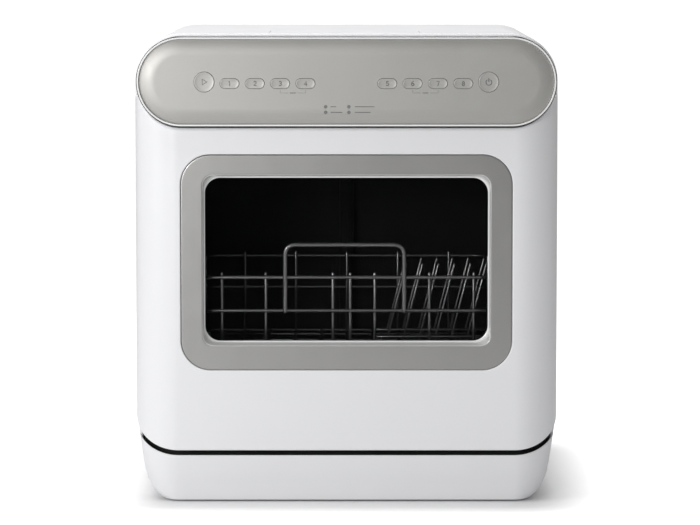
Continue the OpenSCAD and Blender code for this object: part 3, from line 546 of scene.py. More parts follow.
class FinishShop:
    """Makes each finish once, from shared shader node groups."""

    def __init__(self) -> None:
        """Starts with no material and no group made."""
        self._made: dict[str, bpy.types.Material] = {}
        self._groups: dict[str, bpy.types.NodeTree] = {}

    def _group(self, name: str, inputs: dict[str, float], outputs: Sequence[str]) -> bpy.types.NodeTree:
        """Starts a shader group whose sockets are all numbers.

        Args:
            name: The group's name.
            inputs: The default of each input, by its label.
            outputs: The label of each output.

        Returns:
            The empty group with its two end nodes.
        """
        tree = bpy.data.node_groups.new(name, "ShaderNodeTree")
        for label, value in inputs.items():
            socket = tree.interface.new_socket(name=label, in_out="INPUT", socket_type="NodeSocketFloat")
            socket.default_value = value
        for label in outputs:
            tree.interface.new_socket(name=label, in_out="OUTPUT", socket_type="NodeSocketFloat")
        tree.nodes.new("NodeGroupInput").name = "in"
        tree.nodes.new("NodeGroupOutput").name = "out"
        self._groups[name] = tree
        return tree

    def grain(self) -> bpy.types.NodeTree:
        """Surface grain: fine noise stretched along X, and two slower noises that aren't.

        Returns:
            A group that puts out Height for a bump, and Drift and Smear, slow changes between 0 and 1.
        """
        if "surface_grain" in self._groups:
            return self._groups["surface_grain"]
        scales = {"Fine Scale": 1000.0, "Slow Scale": 9.0, "Stretch": 1.0}
        tree = self._group("surface_grain", scales, ["Height", "Drift", "Smear"])
        ends, link = tree.nodes, tree.links.new
        place, axes = shader_node(tree, "TexCoord"), shader_node(tree, "CombineXYZ")
        set_inputs(axes, {"Y": 1.0, "Z": 1.0})
        squeeze = shader_node(tree, "VectorMath", operation="DIVIDE")
        link(ends["in"].outputs["Stretch"], axes.inputs["X"])
        link(place.outputs["Object"], squeeze.inputs[0])
        link(axes.outputs[0], squeeze.inputs[1])
        fine, slow, smear = (shader_node(tree, "TexNoise") for _ in range(3))
        set_inputs(fine, {"Detail": 3.0})
        set_inputs(slow, {"Detail": 2.0})
        set_inputs(smear, {"Detail": 4.0, "Scale": 34.0, "Distortion": 0.8})
        link(squeeze.outputs[0], fine.inputs["Vector"])
        link(place.outputs["Object"], slow.inputs["Vector"])
        link(place.outputs["Object"], smear.inputs["Vector"])
        link(ends["in"].outputs["Fine Scale"], fine.inputs["Scale"])
        link(ends["in"].outputs["Slow Scale"], slow.inputs["Scale"])
        for noise, label in ((fine, "Height"), (slow, "Drift"), (smear, "Smear")):
            link(noise.outputs["Fac"], ends["out"].inputs[label])
        return tree

    def film(self) -> bpy.types.NodeTree:
        """A dull film on faces that look up: the normal's height above 0.6, broken up by slow noise.

        Returns:
            A group that puts out Mask.
        """
        if "settled_film" in self._groups:
            return self._groups["settled_film"]
        tree = self._group("settled_film", {"Amount": 0.2}, ["Mask"])
        ends, link = tree.nodes, tree.links.new
        facing, parts = shader_node(tree, "NewGeometry"), shader_node(tree, "SeparateXYZ")
        up, place = shader_node(tree, "MapRange"), shader_node(tree, "TexCoord")
        patches = shader_node(tree, "TexNoise")
        set_inputs(up, {"From Min": 0.6})
        set_inputs(patches, {"Scale": 22.0})
        both, scaled = (shader_node(tree, "Math", operation="MULTIPLY") for _ in range(2))
        link(facing.outputs["Normal"], parts.inputs[0])
        link(parts.outputs["Z"], up.inputs["Value"])
        link(place.outputs["Object"], patches.inputs["Vector"])
        link(up.outputs[0], both.inputs[0])
        link(patches.outputs["Fac"], both.inputs[1])
        link(both.outputs[0], scaled.inputs[0])
        link(ends["in"].outputs["Amount"], scaled.inputs[1])
        link(scaled.outputs[0], ends["out"].inputs["Mask"])
        return tree

    def material(self, finish: Finish) -> bpy.types.Material:
        """Returns the material of a finish, made at its first use.

        Args:
            finish: The finish.

        Returns:
            Its material.
        """
        if finish.name in self._made:
            return self._made[finish.name]
        mat = bpy.data.materials.new(finish.name)
        mat.use_nodes = True
        tree = mat.node_tree
        link = tree.links.new
        shader = tree.nodes["Principled BSDF"]
        set_inputs(shader, {"Metallic": finish.metallic, "Coat Weight": finish.coat, "Coat Roughness": 0.12})
        set_inputs(shader, {"Alpha": finish.alpha, "IOR": 1.5})
        if finish.kind in DULL_SPECULAR:
            set_inputs(shader, {"Specular IOR Level": DULL_SPECULAR[finish.kind]})
        grain = shader_node(tree, "Group", node_tree=self.grain())
        set_inputs(grain, {"Fine Scale": 1000.0 / finish.grain, "Slow Scale": 9.0, "Stretch": finish.brushed})
        tint = shader_node(tree, "Mix", data_type="RGBA")
        low = tuple(c * (1 - finish.mottle) for c in finish.colour)
        high = tuple(min(1.0, c * (1 + finish.mottle)) for c in finish.colour)
        set_inputs(tint, {"A": (*low, 1.0), "B": (*high, 1.0)})
        link(grain.outputs["Drift"], tint.inputs["Factor"])
        link(tint.outputs["Result"], shader.inputs["Base Color"])
        gloss = shader_node(tree, "MapRange")
        set_inputs(gloss, {"To Min": finish.roughness * 0.86, "To Max": min(1.0, finish.roughness * 1.14)})
        link(grain.outputs["Smear"], gloss.inputs["Value"])
        rough = gloss.outputs[0]
        if finish.dust:
            film = shader_node(tree, "Group", node_tree=self.film())
            set_inputs(film, {"Amount": finish.dust})
            dulled = shader_node(tree, "Math", operation="ADD", use_clamp=True)
            link(rough, dulled.inputs[0])
            link(film.outputs["Mask"], dulled.inputs[1])
            rough = dulled.outputs[0]
        link(rough, shader.inputs["Roughness"])
        bump = shader_node(tree, "Bump")
        set_inputs(bump, {"Distance": finish.depth * 1e-6, "Strength": 1.0})
        link(grain.outputs["Height"], bump.inputs["Height"])
        link(bump.outputs["Normal"], shader.inputs["Normal"])
        self._made[finish.name] = mat
        return mat

    def dress(self, obj: bpy.types.Object, finish: Finish) -> bpy.types.Object:
        """Gives an object one finish all over."""
        obj.data.materials.clear()
        obj.data.materials.append(self.material(finish))
        return obj


# Sub-assemblies


@dataclass
class Assembly:
    """What every sub-assembly shares: the finishes and the list of its pieces."""

    shop: FinishShop
    pieces: list[bpy.types.Object] = field(default_factory=list, init=False)

    def add(
        self,
        name: str,
        skins: Iterable[Skin],
        finish: Finish,
        body: str = "cabinet",
        stands_for: Sequence[str] = (),
    ) -> bpy.types.Object:
        """Makes, dresses and seats one piece.

        Args:
            name: Name of the piece.
            skins: Its closed skins.
            finish: Its finish.
            body: The CAD body that it rides on.
            stands_for: The CAD nodes that it replaces.

        Returns:
            The new object.
        """
        return self.seat(solid(name, skins), finish, body, stands_for)

    def seat(
        self, obj: bpy.types.Object, finish: Finish, body: str = "cabinet", stands_for: Sequence[str] = ()
    ) -> bpy.types.Object:
        """Dresses a finished object and lets it ride on its body."""
        self.shop.dress(obj, finish)
        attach(obj, body)
        if stands_for:
            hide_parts(*stands_for)
        self.pieces.append(obj)
        return obj

    def report(self) -> None:
        """Logs the name and size of each piece."""
        for obj in self.pieces:
            LOG.info("%s: %s, %d faces", type(self).__name__, obj.name, len(obj.data.polygons))


HALF_W = 212.0
FACE_Y = -218.0
DOOR_Y = -210.0
SEAM_Y = -166.0
REAR_Y = 218.0
CORNER_X = 168.0
CORNER_R = 44.0
HEAD_X = 164.0
HEAD_Z = 422.6
HEAD_R = 44.7
TOP_Z = 469.0


@dataclass
class Cabinet(Assembly):
    """White wrap of sides and top, the rear panel's surround and the filler lid."""

    front: float = -165.0
    foot: float = 85.0
    wall: float = 2.5
    corner: float = 47.0
    rim: float = 1.2
    lid_x: float = -2.0
    hinge_y: float = -48.0

    def outline(self, inset: Points) -> Points:
        """The wrap's outline from its left foot over the top to its right foot.

        Each side is straight up to the corner, which is a quarter circle of radius corner - inset.

        Args:
            inset: Distance inwards from the outer face, one per profile point.

        Returns:
            x and z with shape (outline points, profile points, 2).
        """
        a = np.linspace(0.0, math.pi / 2, 25)
        foot, top = np.array([self.foot, 200.0, 320.0, 415.0]), np.array([150.0, 60.0, 0.0])
        r = self.corner - inset
        cx, cz = HALF_W - self.corner, TOP_Z - self.corner
        side = np.stack(np.broadcast_arrays(HALF_W - inset, foot[:, None]), axis=-1)
        bend = np.stack([cx + r * np.cos(a)[:, None], cz + r * np.sin(a)[:, None]], axis=-1)
        crown = np.stack(np.broadcast_arrays(top[:, None], TOP_Z - inset), axis=-1)
        right = np.concatenate([side, bend, crown])
        left = right[::-1][1:] * np.array([-1.0, 1.0])
        return np.concatenate([right, left])

    def wrap(self) -> Skin:
        """Carries the wall's rounded profile of (inset, y) along the outline.

        Returns:
            The closed skin of the wrap, its feet closed flat.
        """
        corners = np.array([[0.0, self.front], [0.0, REAR_Y], [self.wall, REAR_Y], [self.wall, self.front]])
        profile = soften(corners, self.rim, 4)
        shape = self.outline(profile[:, 0])
        y = np.broadcast_to(profile[:, 1], shape.shape[:2])
        return loft(np.stack([shape[..., 0], y, shape[..., 1]], axis=-1))

    def build(self) -> None:
        """Makes the wrap with its lid opening and rear notch, and the ledge for the rear panel."""
        obj = solid("cabinet_wrap", [self.wrap()])
        opening = slab(76.6, 40.65, 3.0, TOP_Z - 8, TOP_Z + 4, Plane.TOP, (self.lid_x, -85.95), 0.05, 8)
        notch = slab(13.0, 9.0, 2.0, TOP_Z - 8, TOP_Z + 4, Plane.TOP, (-18.0, 219.0), 0.05, 6)
        cut(obj, [opening, notch], 0.5)
        self.seat(obj, WHITE, "cabinet", ["cabinet_shell"])
        ledge, y = [], REAR_Y - 20.0
        for mid in (-204.7, 204.7):
            ledge.append(slab(2.0, 166.0, 0.5, mid - 5.0, mid + 5.0, Plane.SIDE, (y, 253.0), 0.3, 3))
        ledge.append(slab(165.0, 2.0, 0.5, TOP_Z - 12.3, TOP_Z - 2.3, Plane.TOP, (0.0, y), 0.3, 3))
        self.add("panel_ledge", ledge, WHITE)
        self.lid()

    def lid(self) -> None:
        """Makes the filler lid: a plate with rounded corners, a finger dip and its hinge barrel."""
        cover = slab(76.0, 38.2, 2.6, TOP_Z - 2.2, TOP_Z, Plane.TOP, (self.lid_x, -87.8), 0.5, 8)
        plate = solid("filler_lid_cover", [cover])
        places = [(self.lid_x + side * 60.0, self.hinge_y + 1.4) for side in (-1, 1)]
        slots = [slab(2.4, 4.6, 0.3, TOP_Z - 9, TOP_Z + 5, Plane.TOP, place, 0.05, 3) for place in places]
        dip = slab(14.0, 3.2, 3.2, TOP_Z - 0.8, TOP_Z + 2, Plane.TOP, (self.lid_x, -119.5), 0.4, 10)
        cut(plate, slots + [dip], 0.25)
        self.seat(plate, WHITE, "filler_lid", ["filler_lid"])
        y, z = self.hinge_y, TOP_Z - 2.2
        spans = ((-75.6, -66.8), (-57.2, 53.2), (62.8, 71.6))
        barrels = [rod((x0, y, z), (x1, y, z), 2.15, 20) for x0, x1 in spans]
        barrels += [rod((x0, y, z), (x0 + 14.0, y, z), 1.15, 16) for x0 in (-67.6, 50.4)]
        self.add("filler_lid_hinge", barrels, WHITE, "filler_lid")


@dataclass
class Head(Assembly):
    """Control head: white capsule, bright ring, silver panel, keys with their marks."""

    key_face: float = -217.8
    key_z: float = 420.95
    round_z: float = 422.45
    round_x: float = 141.0
    pitch: float = 25.1
    pill_hw: float = 9.5
    pill_r: float = 5.0
    round_r: float = 10.0
    gap: float = 0.25
    front: float = -217.6
    lamp_x: tuple[float, float] = (-20.5, 2.5)
    lamp_z: tuple[float, float] = (397.95, 392.35)

    def pill_x(self, i: int) -> float:
        """Place of pill key i, counted from the left."""
        return -40.5 - (3 - i) * self.pitch if i < 4 else 40.5 + (i - 4) * self.pitch

    def build(self) -> None:
        """Makes the housing, the ring, the panel and the keys."""
        y0, y1 = -165.3, -213.0
        wall = [[-1.0, y0], [-1.0, y1], [-6.0, y1], [-6.0, y1 + 2.0], [-3.5, y1 + 2.0], [-3.5, y0]]
        housing = self.band(wall, [0.2, 0.9, 0.2, 0.2, 0.2, 0.2])
        self.add("head_housing_cover", [housing, self.plate()], WHITE, "cabinet", ["head_housing"])
        ring = self.band([[-0.7, y1], [-0.7, FACE_Y], [-2.4, FACE_Y], [-2.4, y1]], [0.1, 0.35, 0.35, 0.1])
        self.add("head_edge_ring", [ring], BRIGHT, "cabinet", ["head_rim"])
        # Painted shade: a thin matte black band on the capsule's outer edge, a dark line standing where the
        # gap round the bright ring lies in shadow.
        lip = self.band([[0.0, -216.2], [0.0, self.front], [-0.62, self.front], [-0.62, -216.2]], [0.15] * 4)
        self.add("head_painted_shadow_line", [lip], BLACK_AND_PAINTED_SHADE)
        self.panel()
        self.marks()
        for i in range(8):
            self.pill(i)
        for side, name in ((-1, "start_key"), (1, "power_key")):
            self.round_key(side, name)

    def band(self, corners: Sequence[Sequence[float]], cut_back: Sequence[float]) -> Skin:
        """Carries a rounded profile round the head's capsule.

        Args:
            corners: Offset from the capsule and depth of each corner.
            cut_back: Distance from each corner at which its rounding starts.

        Returns:
            The closed skin of the band.
        """
        profile = soften(np.array(corners), cut_back, 4)
        return trim_ring(profile, HEAD_X + HEAD_R, HEAD_R, HEAD_R, Plane.FRONT, (0.0, HEAD_Z), 32)

    def plate(self) -> Skin:
        """Plate behind the capsule that closes the cabinet's front, with the wrap's own corners.

        The upper half follows quarter circles of radius 44.2 and the lower edge is flat at z = 374.5.
        """
        return slab(209.2, 45.85, 44.2, SEAM_Y, SEAM_Y + 2.4, Plane.FRONT, (0.0, 420.35), 0.4, 16)

    def panel(self) -> None:
        """Silver panel: flat in the middle, and falling back towards its edge like a pillow.

        Its depth is y = -217.6 + 2.2 ((R - 26) / 16)^2 from radius R = 26 outwards.
        """
        edge = np.linspace(0.0, 1.0, 22)
        radius = 26.0 + 16.0 * edge
        depth = self.front + 2.2 * edge**2
        radius = np.concatenate([[12.0], radius, [42.0, 41.7, 40.5]])
        depth = np.concatenate([[self.front], depth, [-215.1, -214.7, -214.6]])
        skin = loft(rings(HEAD_X + radius, radius, radius, depth, Plane.FRONT, (0.0, HEAD_Z), 32))
        obj = solid("control_panel", [skin])
        hw, r, big = self.pill_hw + self.gap, self.pill_r + self.gap, self.round_r + self.gap
        holes = [self.hole(hw, r, self.pill_x(i), self.key_z, 12) for i in range(8)]
        holes += [self.hole(big, big, side * self.round_x, self.round_z, 16) for side in (-1, 1)]
        holes += [self.hole(1.7, 1.7, x, z, 6) for x in self.lamp_x for z in self.lamp_z]
        cut(obj, holes, 0.18)
        self.seat(obj, SILVER, "cabinet", ["fascia"])

    @staticmethod
    def hole(hw: float, r: float, x: float, z: float, steps: int) -> Skin:
        """A capsule through the panel, hw wide and r high from its centre (x, z)."""
        return slab(hw, r, r, -222.0, -210.0, Plane.FRONT, (x, z), 0.05, steps)

    def marks(self) -> None:
        """Printed lines that bracket two pairs of keys, and a short bar beside each indicator."""
        y, low, high, thin, bold, out = self.front - 0.02, 411.6, 414.2, 0.16, 0.36, (0, 1, 0)
        lines = []
        for left, right in ((self.pill_x(2), self.pill_x(3)), (self.pill_x(5), self.pill_x(6))):
            mid = (left + right) / 2
            path = np.array([[left, y, high], [left, y, low], [mid - 5.0, y, low]])
            lines.append(tube(path, thin, out, 8))
            lines.append(tube(path * [-1, 1, 1] + [2 * mid, 0, 0], thin, out, 8))
            lines.append(tube(np.array([[mid - 2.6, y, low], [mid + 2.6, y, low]]), bold, out, 8))
        for x, lengths in ((-15.5, (5.0, 11.0)), (8.5, (19.0, 15.0))):
            for z, length in zip(self.lamp_z, lengths):
                lines.append(tube(np.array([[x, y, z], [x + length, y, z]]), bold, out, 8))
        self.add("panel_marks", lines, MARK)

    def cap(self, hw: float, r: float, x: float, z: float) -> Skin:
        """A key from its switch stem to its face, drawn as capsules from back to front.

        Args:
            hw: Half width of the face.
            r: Half height of the face and radius of its ends.
            x: Centre.
            z: Centre.

        Returns:
            The key's closed skin, whose face is dished by 0.25 mm.
        """
        y = self.key_face
        rows = np.array(
            [
                [2.0, 2.0, -208.2],
                [2.0, 2.0, -211.4],
                [hw + 1.5, r + 1.5, -211.4],
                [hw + 1.5, r + 1.5, -212.8],
                [hw, r, -212.8],
                [hw, r, y + 0.35],
                [hw - 0.1, r - 0.1, y + 0.1],
                [hw - 0.35, r - 0.35, y],
                [hw - 0.75, r - 0.75, y + 0.02],
                [hw - 1.6, r - 1.6, y + 0.12],
                [hw - 3.0, r - 3.0, y + 0.2],
            ]
        )
        half_w, half_h, depth = rows.T
        return loft(rings(half_w, half_h, half_h, depth, Plane.FRONT, (x, z), 16))

    def pill(self, i: int) -> None:
        """Makes pill key i with its number."""
        x, name = self.pill_x(i), f"key_{i + 1}"
        cap = self.cap(self.pill_hw, self.pill_r, x, self.key_z)
        self.add(f"{name}_cap", [cap], KEY, name, [name])
        marks = strokes(DIGITS[i + 1], x, self.key_z, 2.1, self.key_face + 0.18, 0.4)
        self.add(f"{name}_mark", marks, MARK, name)

    def round_key(self, side: int, name: str) -> None:
        """Makes the round key on one side with its symbol."""
        x, z = side * self.round_x, self.round_z
        self.add(f"{name}_cap", [self.cap(self.round_r, self.round_r, x, z)], KEY, name, [name])
        marks = strokes(START_SIGN if side < 0 else POWER_SIGN, x, z, 3.2, self.key_face + 0.18, 0.42)
        self.add(f"{name}_mark", marks, MARK, name)


def bow(cx: float, cz: float, r: float, a0: float, a1: float, n: int = 14, squash: float = 1.0) -> Points:
    """Part of an ellipse round (cx, cz) from angle a0 to a1 in degrees, r wide and r times squash high."""
    a = np.radians(np.linspace(a0, a1, n))
    return np.stack([cx + r * np.cos(a), cz + r * squash * np.sin(a)], axis=-1)


DIGITS: dict[int, list[Points]] = {
    1: [np.array([[-0.35, 0.65], [0.05, 1.0], [0.05, -1.0]])],
    2: [np.concatenate([bow(0, 0.45, 0.55, 170, -35), [[-0.55, -1.0], [0.6, -1.0]]])],
    3: [np.concatenate([bow(0, 0.5, 0.5, 150, -90), bow(0, -0.5, 0.5, 90, -150)])],
    4: [np.array([[0.3, -1.0], [0.3, 1.0], [-0.6, -0.4], [0.6, -0.4]])],
    5: [np.concatenate([[[0.5, 1.0], [-0.4, 1.0], [-0.45, 0.15]], bow(0, -0.38, 0.6, 130, -140)])],
    6: [bow(0, -0.42, 0.56, 0, 360, 24), np.concatenate([bow(0.5, -0.1, 1.06, 95, 180, 10)])],
    7: [np.array([[-0.55, 1.0], [0.55, 1.0], [-0.15, -1.0]])],
    8: [bow(0, 0.5, 0.46, 0, 360, 24), bow(0, -0.48, 0.54, 0, 360, 24)],
}
START_SIGN: list[Points] = [np.array([[-0.6, 0.85], [0.9, 0.0], [-0.6, -0.85], [-0.6, 0.85]])]
POWER_SIGN: list[Points] = [bow(0, -0.1, 0.9, 125, 415, 30), np.array([[0.0, 1.1], [0.0, 0.1]])]


def strokes(sign: Sequence[Points], x: float, z: float, size: float, y: float, width: float) -> list[Skin]:
    """Draws a sign of lines on a front face.

    Args:
        sign: Its lines, in units of half its height.
        x: Centre.
        z: Centre.
        size: Half its height.
        y: Depth of the lines' centres.
        width: Radius of the lines.

    Returns:
        One round line for each stroke.
    """
    made = []
    for line in sign:
        path = np.stack([x + size * line[:, 0], np.full(len(line), y), z + size * line[:, 1]], axis=-1)
        made.append(tube(path, width, (0, 1, 0), 8, closed=bool(np.allclose(line[0], line[-1]))))
    return made


@dataclass
class Door(Assembly):
    """Drop-down door: white moulding, silver bezel and glass.

    Attributes:
        foot: Lowest point of the moulding.
        rise: Height of the quarter ellipse at its lower corners.
        reach: Radius round the head's axis at which its upper edge starts.
        horn: Height at which its upper corners are cut off.
        wall: Its wall.
        edge: Rounding of its upper edge.
        low_edge: Rounding of its lower edge.
        lift: How much closer to the head the upper edge is in front than at the seam.
        bezel_z: Height of the bezel's centre.
        sight_z: Height of the panes' centre.
        pin: y and z of the hinge's axis.
        pin_x: Distance of each hinge from the middle.
    """

    foot: float = 53.6
    rise: float = 33.0
    reach: float = 47.4
    horn: float = 408.0
    wall: float = 2.5
    edge: float = 3.2
    low_edge: float = 1.2
    lift: float = 1.2
    bezel_z: float = 242.2
    sight_z: float = 244.0
    pin: tuple[float, float] = (-198.0, 68.0)
    pin_x: float = 173.0

    def sheet(self, inset: float, edge: float) -> Points:
        """The moulding's surface, drawn inwards by an inset.

        A column at plan angle p lies at x = +-(168 + (44 - inset) sin p), y = -166 - (44 - inset) cos p.
        Its lower end follows a quarter ellipse and its upper end the head's capsule, a little closer to it in
        front than at the seam. Between front face and edge face, whose normals are n and m, a ball of radius
        e rolls: its centre is P - e (n + m) / (1 + n.m), and the rounding is centre + e times the arc from n
        to m.

        Args:
            inset: Distance inwards.
            edge: Radius of the rounding along the upper and lower edge.

        Returns:
            Points with shape (columns, rows, 3), from the lower rear edge to the upper rear edge.
        """
        r, b = CORNER_R - inset, self.rise - inset
        turn = np.linspace(0.0, math.pi / 2, 41)[1:]
        flat = np.array([0.0, 60.0, 110.0, 150.0, 157.0, 163.0, 165.5, CORNER_X])
        p = np.concatenate([np.zeros(len(flat)), turn])
        x = np.concatenate([flat, CORNER_X + r * np.sin(turn)])
        y = SEAM_Y - r * np.cos(p)
        n = np.stack([np.sin(p), -np.cos(p), np.zeros_like(p)], axis=-1)
        low = np.stack([x, y, self.foot + self.rise - b * np.cos(p)], axis=-1)
        m_low = np.stack([np.sin(p) / r, np.zeros_like(p), -np.cos(p) / b], axis=-1)
        m_low /= np.linalg.norm(m_low, axis=1)[:, None]
        reach, side = self.reach - self.lift + inset, np.maximum(x - HEAD_X, 0.0)
        arc = HEAD_Z - np.sqrt(np.maximum(reach**2 - side**2, 0.0))
        top_z = np.minimum(np.where(side < reach, arc, self.horn - inset), self.horn - inset)
        capped = top_z >= self.horn - inset - 1e-6
        high = np.stack([x, y, top_z], axis=-1)
        upwards = np.where(capped, 1.0, HEAD_Z - top_z)
        m_high = np.stack([np.where(capped, 0.0, -side), np.zeros_like(p), upwards], axis=-1)
        m_high /= np.linalg.norm(m_high, axis=1)[:, None]
        upper = self.rounding(high, m_high, n, edge)
        upper[:, -1, 2] -= self.lift * np.clip((SEAM_Y - y) / 20.0, 0.0, 1.0)
        lower = self.rounding(low, m_low, n, min(edge, self.low_edge))[:, ::-1]
        rows = np.concatenate([lower, upper], axis=1)
        mirror = rows[::-1][:-1] * np.array([-1.0, 1.0, 1.0])
        return np.concatenate([mirror, rows])

    @staticmethod
    def rounding(corner: Points, m: Points, n: Points, edge: float) -> Points:
        """Rows from the front face over one rounded edge to the seam.

        Args:
            corner: Where front face and edge face would meet, one per column.
            m: Normal of the edge face.
            n: Normal of the front face.
            edge: Radius of the rounding, made smaller where the edge face is narrow or turns back.

        Returns:
            Points with shape (columns, rows, 3), from the front face to the seam.
        """
        dot = np.sum(m * n, axis=1)[:, None]
        room = np.maximum(SEAM_Y - corner[:, 1], 0.0)[:, None]
        e = np.minimum(edge, room * 0.45) * np.clip(1 + dot, 0.0, 1.0)
        centre = corner - e * (n + m) / (1 + dot)
        angle = np.arccos(np.clip(dot, -1.0, 1.0))[:, :, None]
        t = np.linspace(0.0, 1.0, 9)[None, :, None]
        safe = np.where(angle < 1e-5, 1.0, np.sin(angle))
        wn = np.where(angle < 1e-5, 1 - t, np.sin((1 - t) * angle) / safe)
        wm = np.where(angle < 1e-5, t, np.sin(t * angle) / safe)
        arc = centre[:, None] + e[:, None] * (wn * n[:, None] + wm * m[:, None])
        back = arc[:, -1:].copy()
        back[:, 0, 1] = SEAM_Y
        near = arc[:, :1].copy()
        near[:, 0, 2] += np.sign(centre[:, 2:] - corner[:, 2:])[:, 0] * 3.0
        return np.concatenate([near, arc, back], axis=1)

    def build(self) -> None:
        """Makes the moulding with its window opening, then what fills it."""
        obj = solid("door_moulding", [walled(self.sheet(0.0, self.edge), self.sheet(self.wall, 0.9))])
        holes = [slab(167.6, 110.1, 32.3, -216.0, -196.0, Plane.FRONT, (0.0, self.bezel_z), 0.05, 24)]
        for side in (-1, 1):
            holes.append(slab(3.5, 30.0, 0.5, 50.0, 59.0, Plane.TOP, (side * self.pin_x, -177.0), 0.05, 3))
        cut(obj, holes)
        self.seat(obj, WHITE, "door", ["door_skin"])
        corners = np.array([[0.0, -205.5], [0.0, -210.02], [2.7, -210.02], [2.7, -205.5]])
        rim = soften(corners, [0.05, 2.1, 0.01, 0.05], 8)
        surround = trim_ring(rim, 165.4, 107.9, 30.1, Plane.FRONT, (0.0, self.bezel_z), 24)
        self.add("window_surround", [surround], WHITE, "door")
        self.ears()
        self.bezel()
        self.glazing()

    def ears(self) -> None:
        """Two ears on each side that carry the hinge pin, rooted in the moulding's front wall."""
        ears = []
        root = (self.pin[0] - 5.3, self.pin[1])
        for x in (side * self.pin_x + out * 4.75 for side in (-1, 1) for out in (-1, 1)):
            ears.append(slab(7.0, 7.0, 7.0, x - 1.75, x + 1.75, Plane.SIDE, self.pin, 0.3, 8))
            ears.append(slab(5.3, 7.0, 0.4, x - 1.75, x + 1.75, Plane.SIDE, root, 0.3, 3))
        self.add("hinge_ears", ears, WHITE, "door")

    def bezel(self) -> None:
        """Silver frame set back in the moulding, and the bright reveal that runs from it to the glass.

        Each row is a ring: half width, half height, corner radius, depth and height of its centre.
        """
        rim, sight, glass = self.bezel_z, 244.2, 243.9
        frame = np.array(
            [
                [161.0, 103.5, 26.0, -206.7, rim],
                [164.7, 107.2, 29.4, -206.7, rim],
                [165.1, 107.6, 29.8, -207.2, rim],
                [165.1, 107.6, 29.8, -208.6, rim],
                [164.9, 107.4, 29.6, -209.05, rim],
                [164.5, 107.0, 29.2, -209.3, rim],
                [163.9, 106.4, 28.6, -209.35, rim],
                [163.5, 106.0, 28.2, -209.35, rim],
                [144.8, 86.9, 12.0, -209.35, sight],
                [144.4, 86.5, 11.6, -209.35, sight],
                [144.0, 86.1, 11.2, -209.3, sight],
                [143.8, 85.9, 11.0, -209.1, sight],
                [143.8, 85.9, 11.0, -206.8, sight],
                [145.8, 88.6, 13.0, -206.6, sight],
            ]
        )
        reveal = np.array(
            [
                [143.7, 85.8, 10.9, -206.9, sight],
                [143.7, 85.8, 10.9, -208.9, sight],
                [143.6, 85.7, 10.8, -209.05, sight],
                [143.4, 85.4, 10.9, -208.9, sight],
                [142.9, 83.2, 14.0, -192.6, glass],
                [142.7, 83.0, 14.2, -191.4, glass],
                [142.5, 82.8, 14.4, -191.1, glass],
                [141.8, 82.1, 15.1, -191.1, glass],
                [141.6, 81.9, 15.3, -190.9, glass],
                [141.6, 81.9, 15.3, -190.05, glass],
                [145.8, 88.6, 13.0, -190.05, sight],
                [145.8, 88.6, 13.0, -206.5, sight],
            ]
        )
        for name, rows, finish, node in (
            ("bezel_frame", frame, BEZEL, ["window_bezel"]),
            ("bezel_reveal", reveal, BRIGHT, []),
        ):
            hw, hh, r, depth, z = rows.T
            stack = rings(hw, hh, r, depth, Plane.FRONT, (0.0, z), 24)
            self.add(name, [loft(stack, closed=True)], finish, "door", node)

    def glazing(self) -> None:
        """Outer and inner pane and the seal between them."""
        outer = slab(152.4, 93.7, 20.0, -189.98, -187.0, Plane.FRONT, (0.0, self.sight_z), 0.5, 16)
        self.add("outer_pane", [outer], DARK_GLASS, "door", ["window_glass"])
        inner = slab(154.4, 95.7, 22.0, -171.5, -168.5, Plane.FRONT, (0.0, self.sight_z), 0.6, 16)
        self.add("inner_pane", [inner], CLEAR_GLASS, "door", ["inner_glass"])
        corners = np.array([[0, -186.95], [0, -171.55], [-6.0, -171.55], [-4.5, -179.0], [-6.0, -186.95]])
        lip = soften(corners, [0.8, 0.8, 0.8, 3.0, 0.8], 4)
        seal = trim_ring(lip, 152.4, 93.7, 20.0, Plane.FRONT, (0.0, self.sight_z), 12)
        self.add("pane_seal", [seal], RUBBER, "door", ["window_seal"])


class Stretch(IntEnum):
    """The stretches of the plinth's outline."""

    FRONT_CORNER = 0
    FRONT = 1
    SIDE = 2
    REAR_CORNER = 3
    REAR = 4


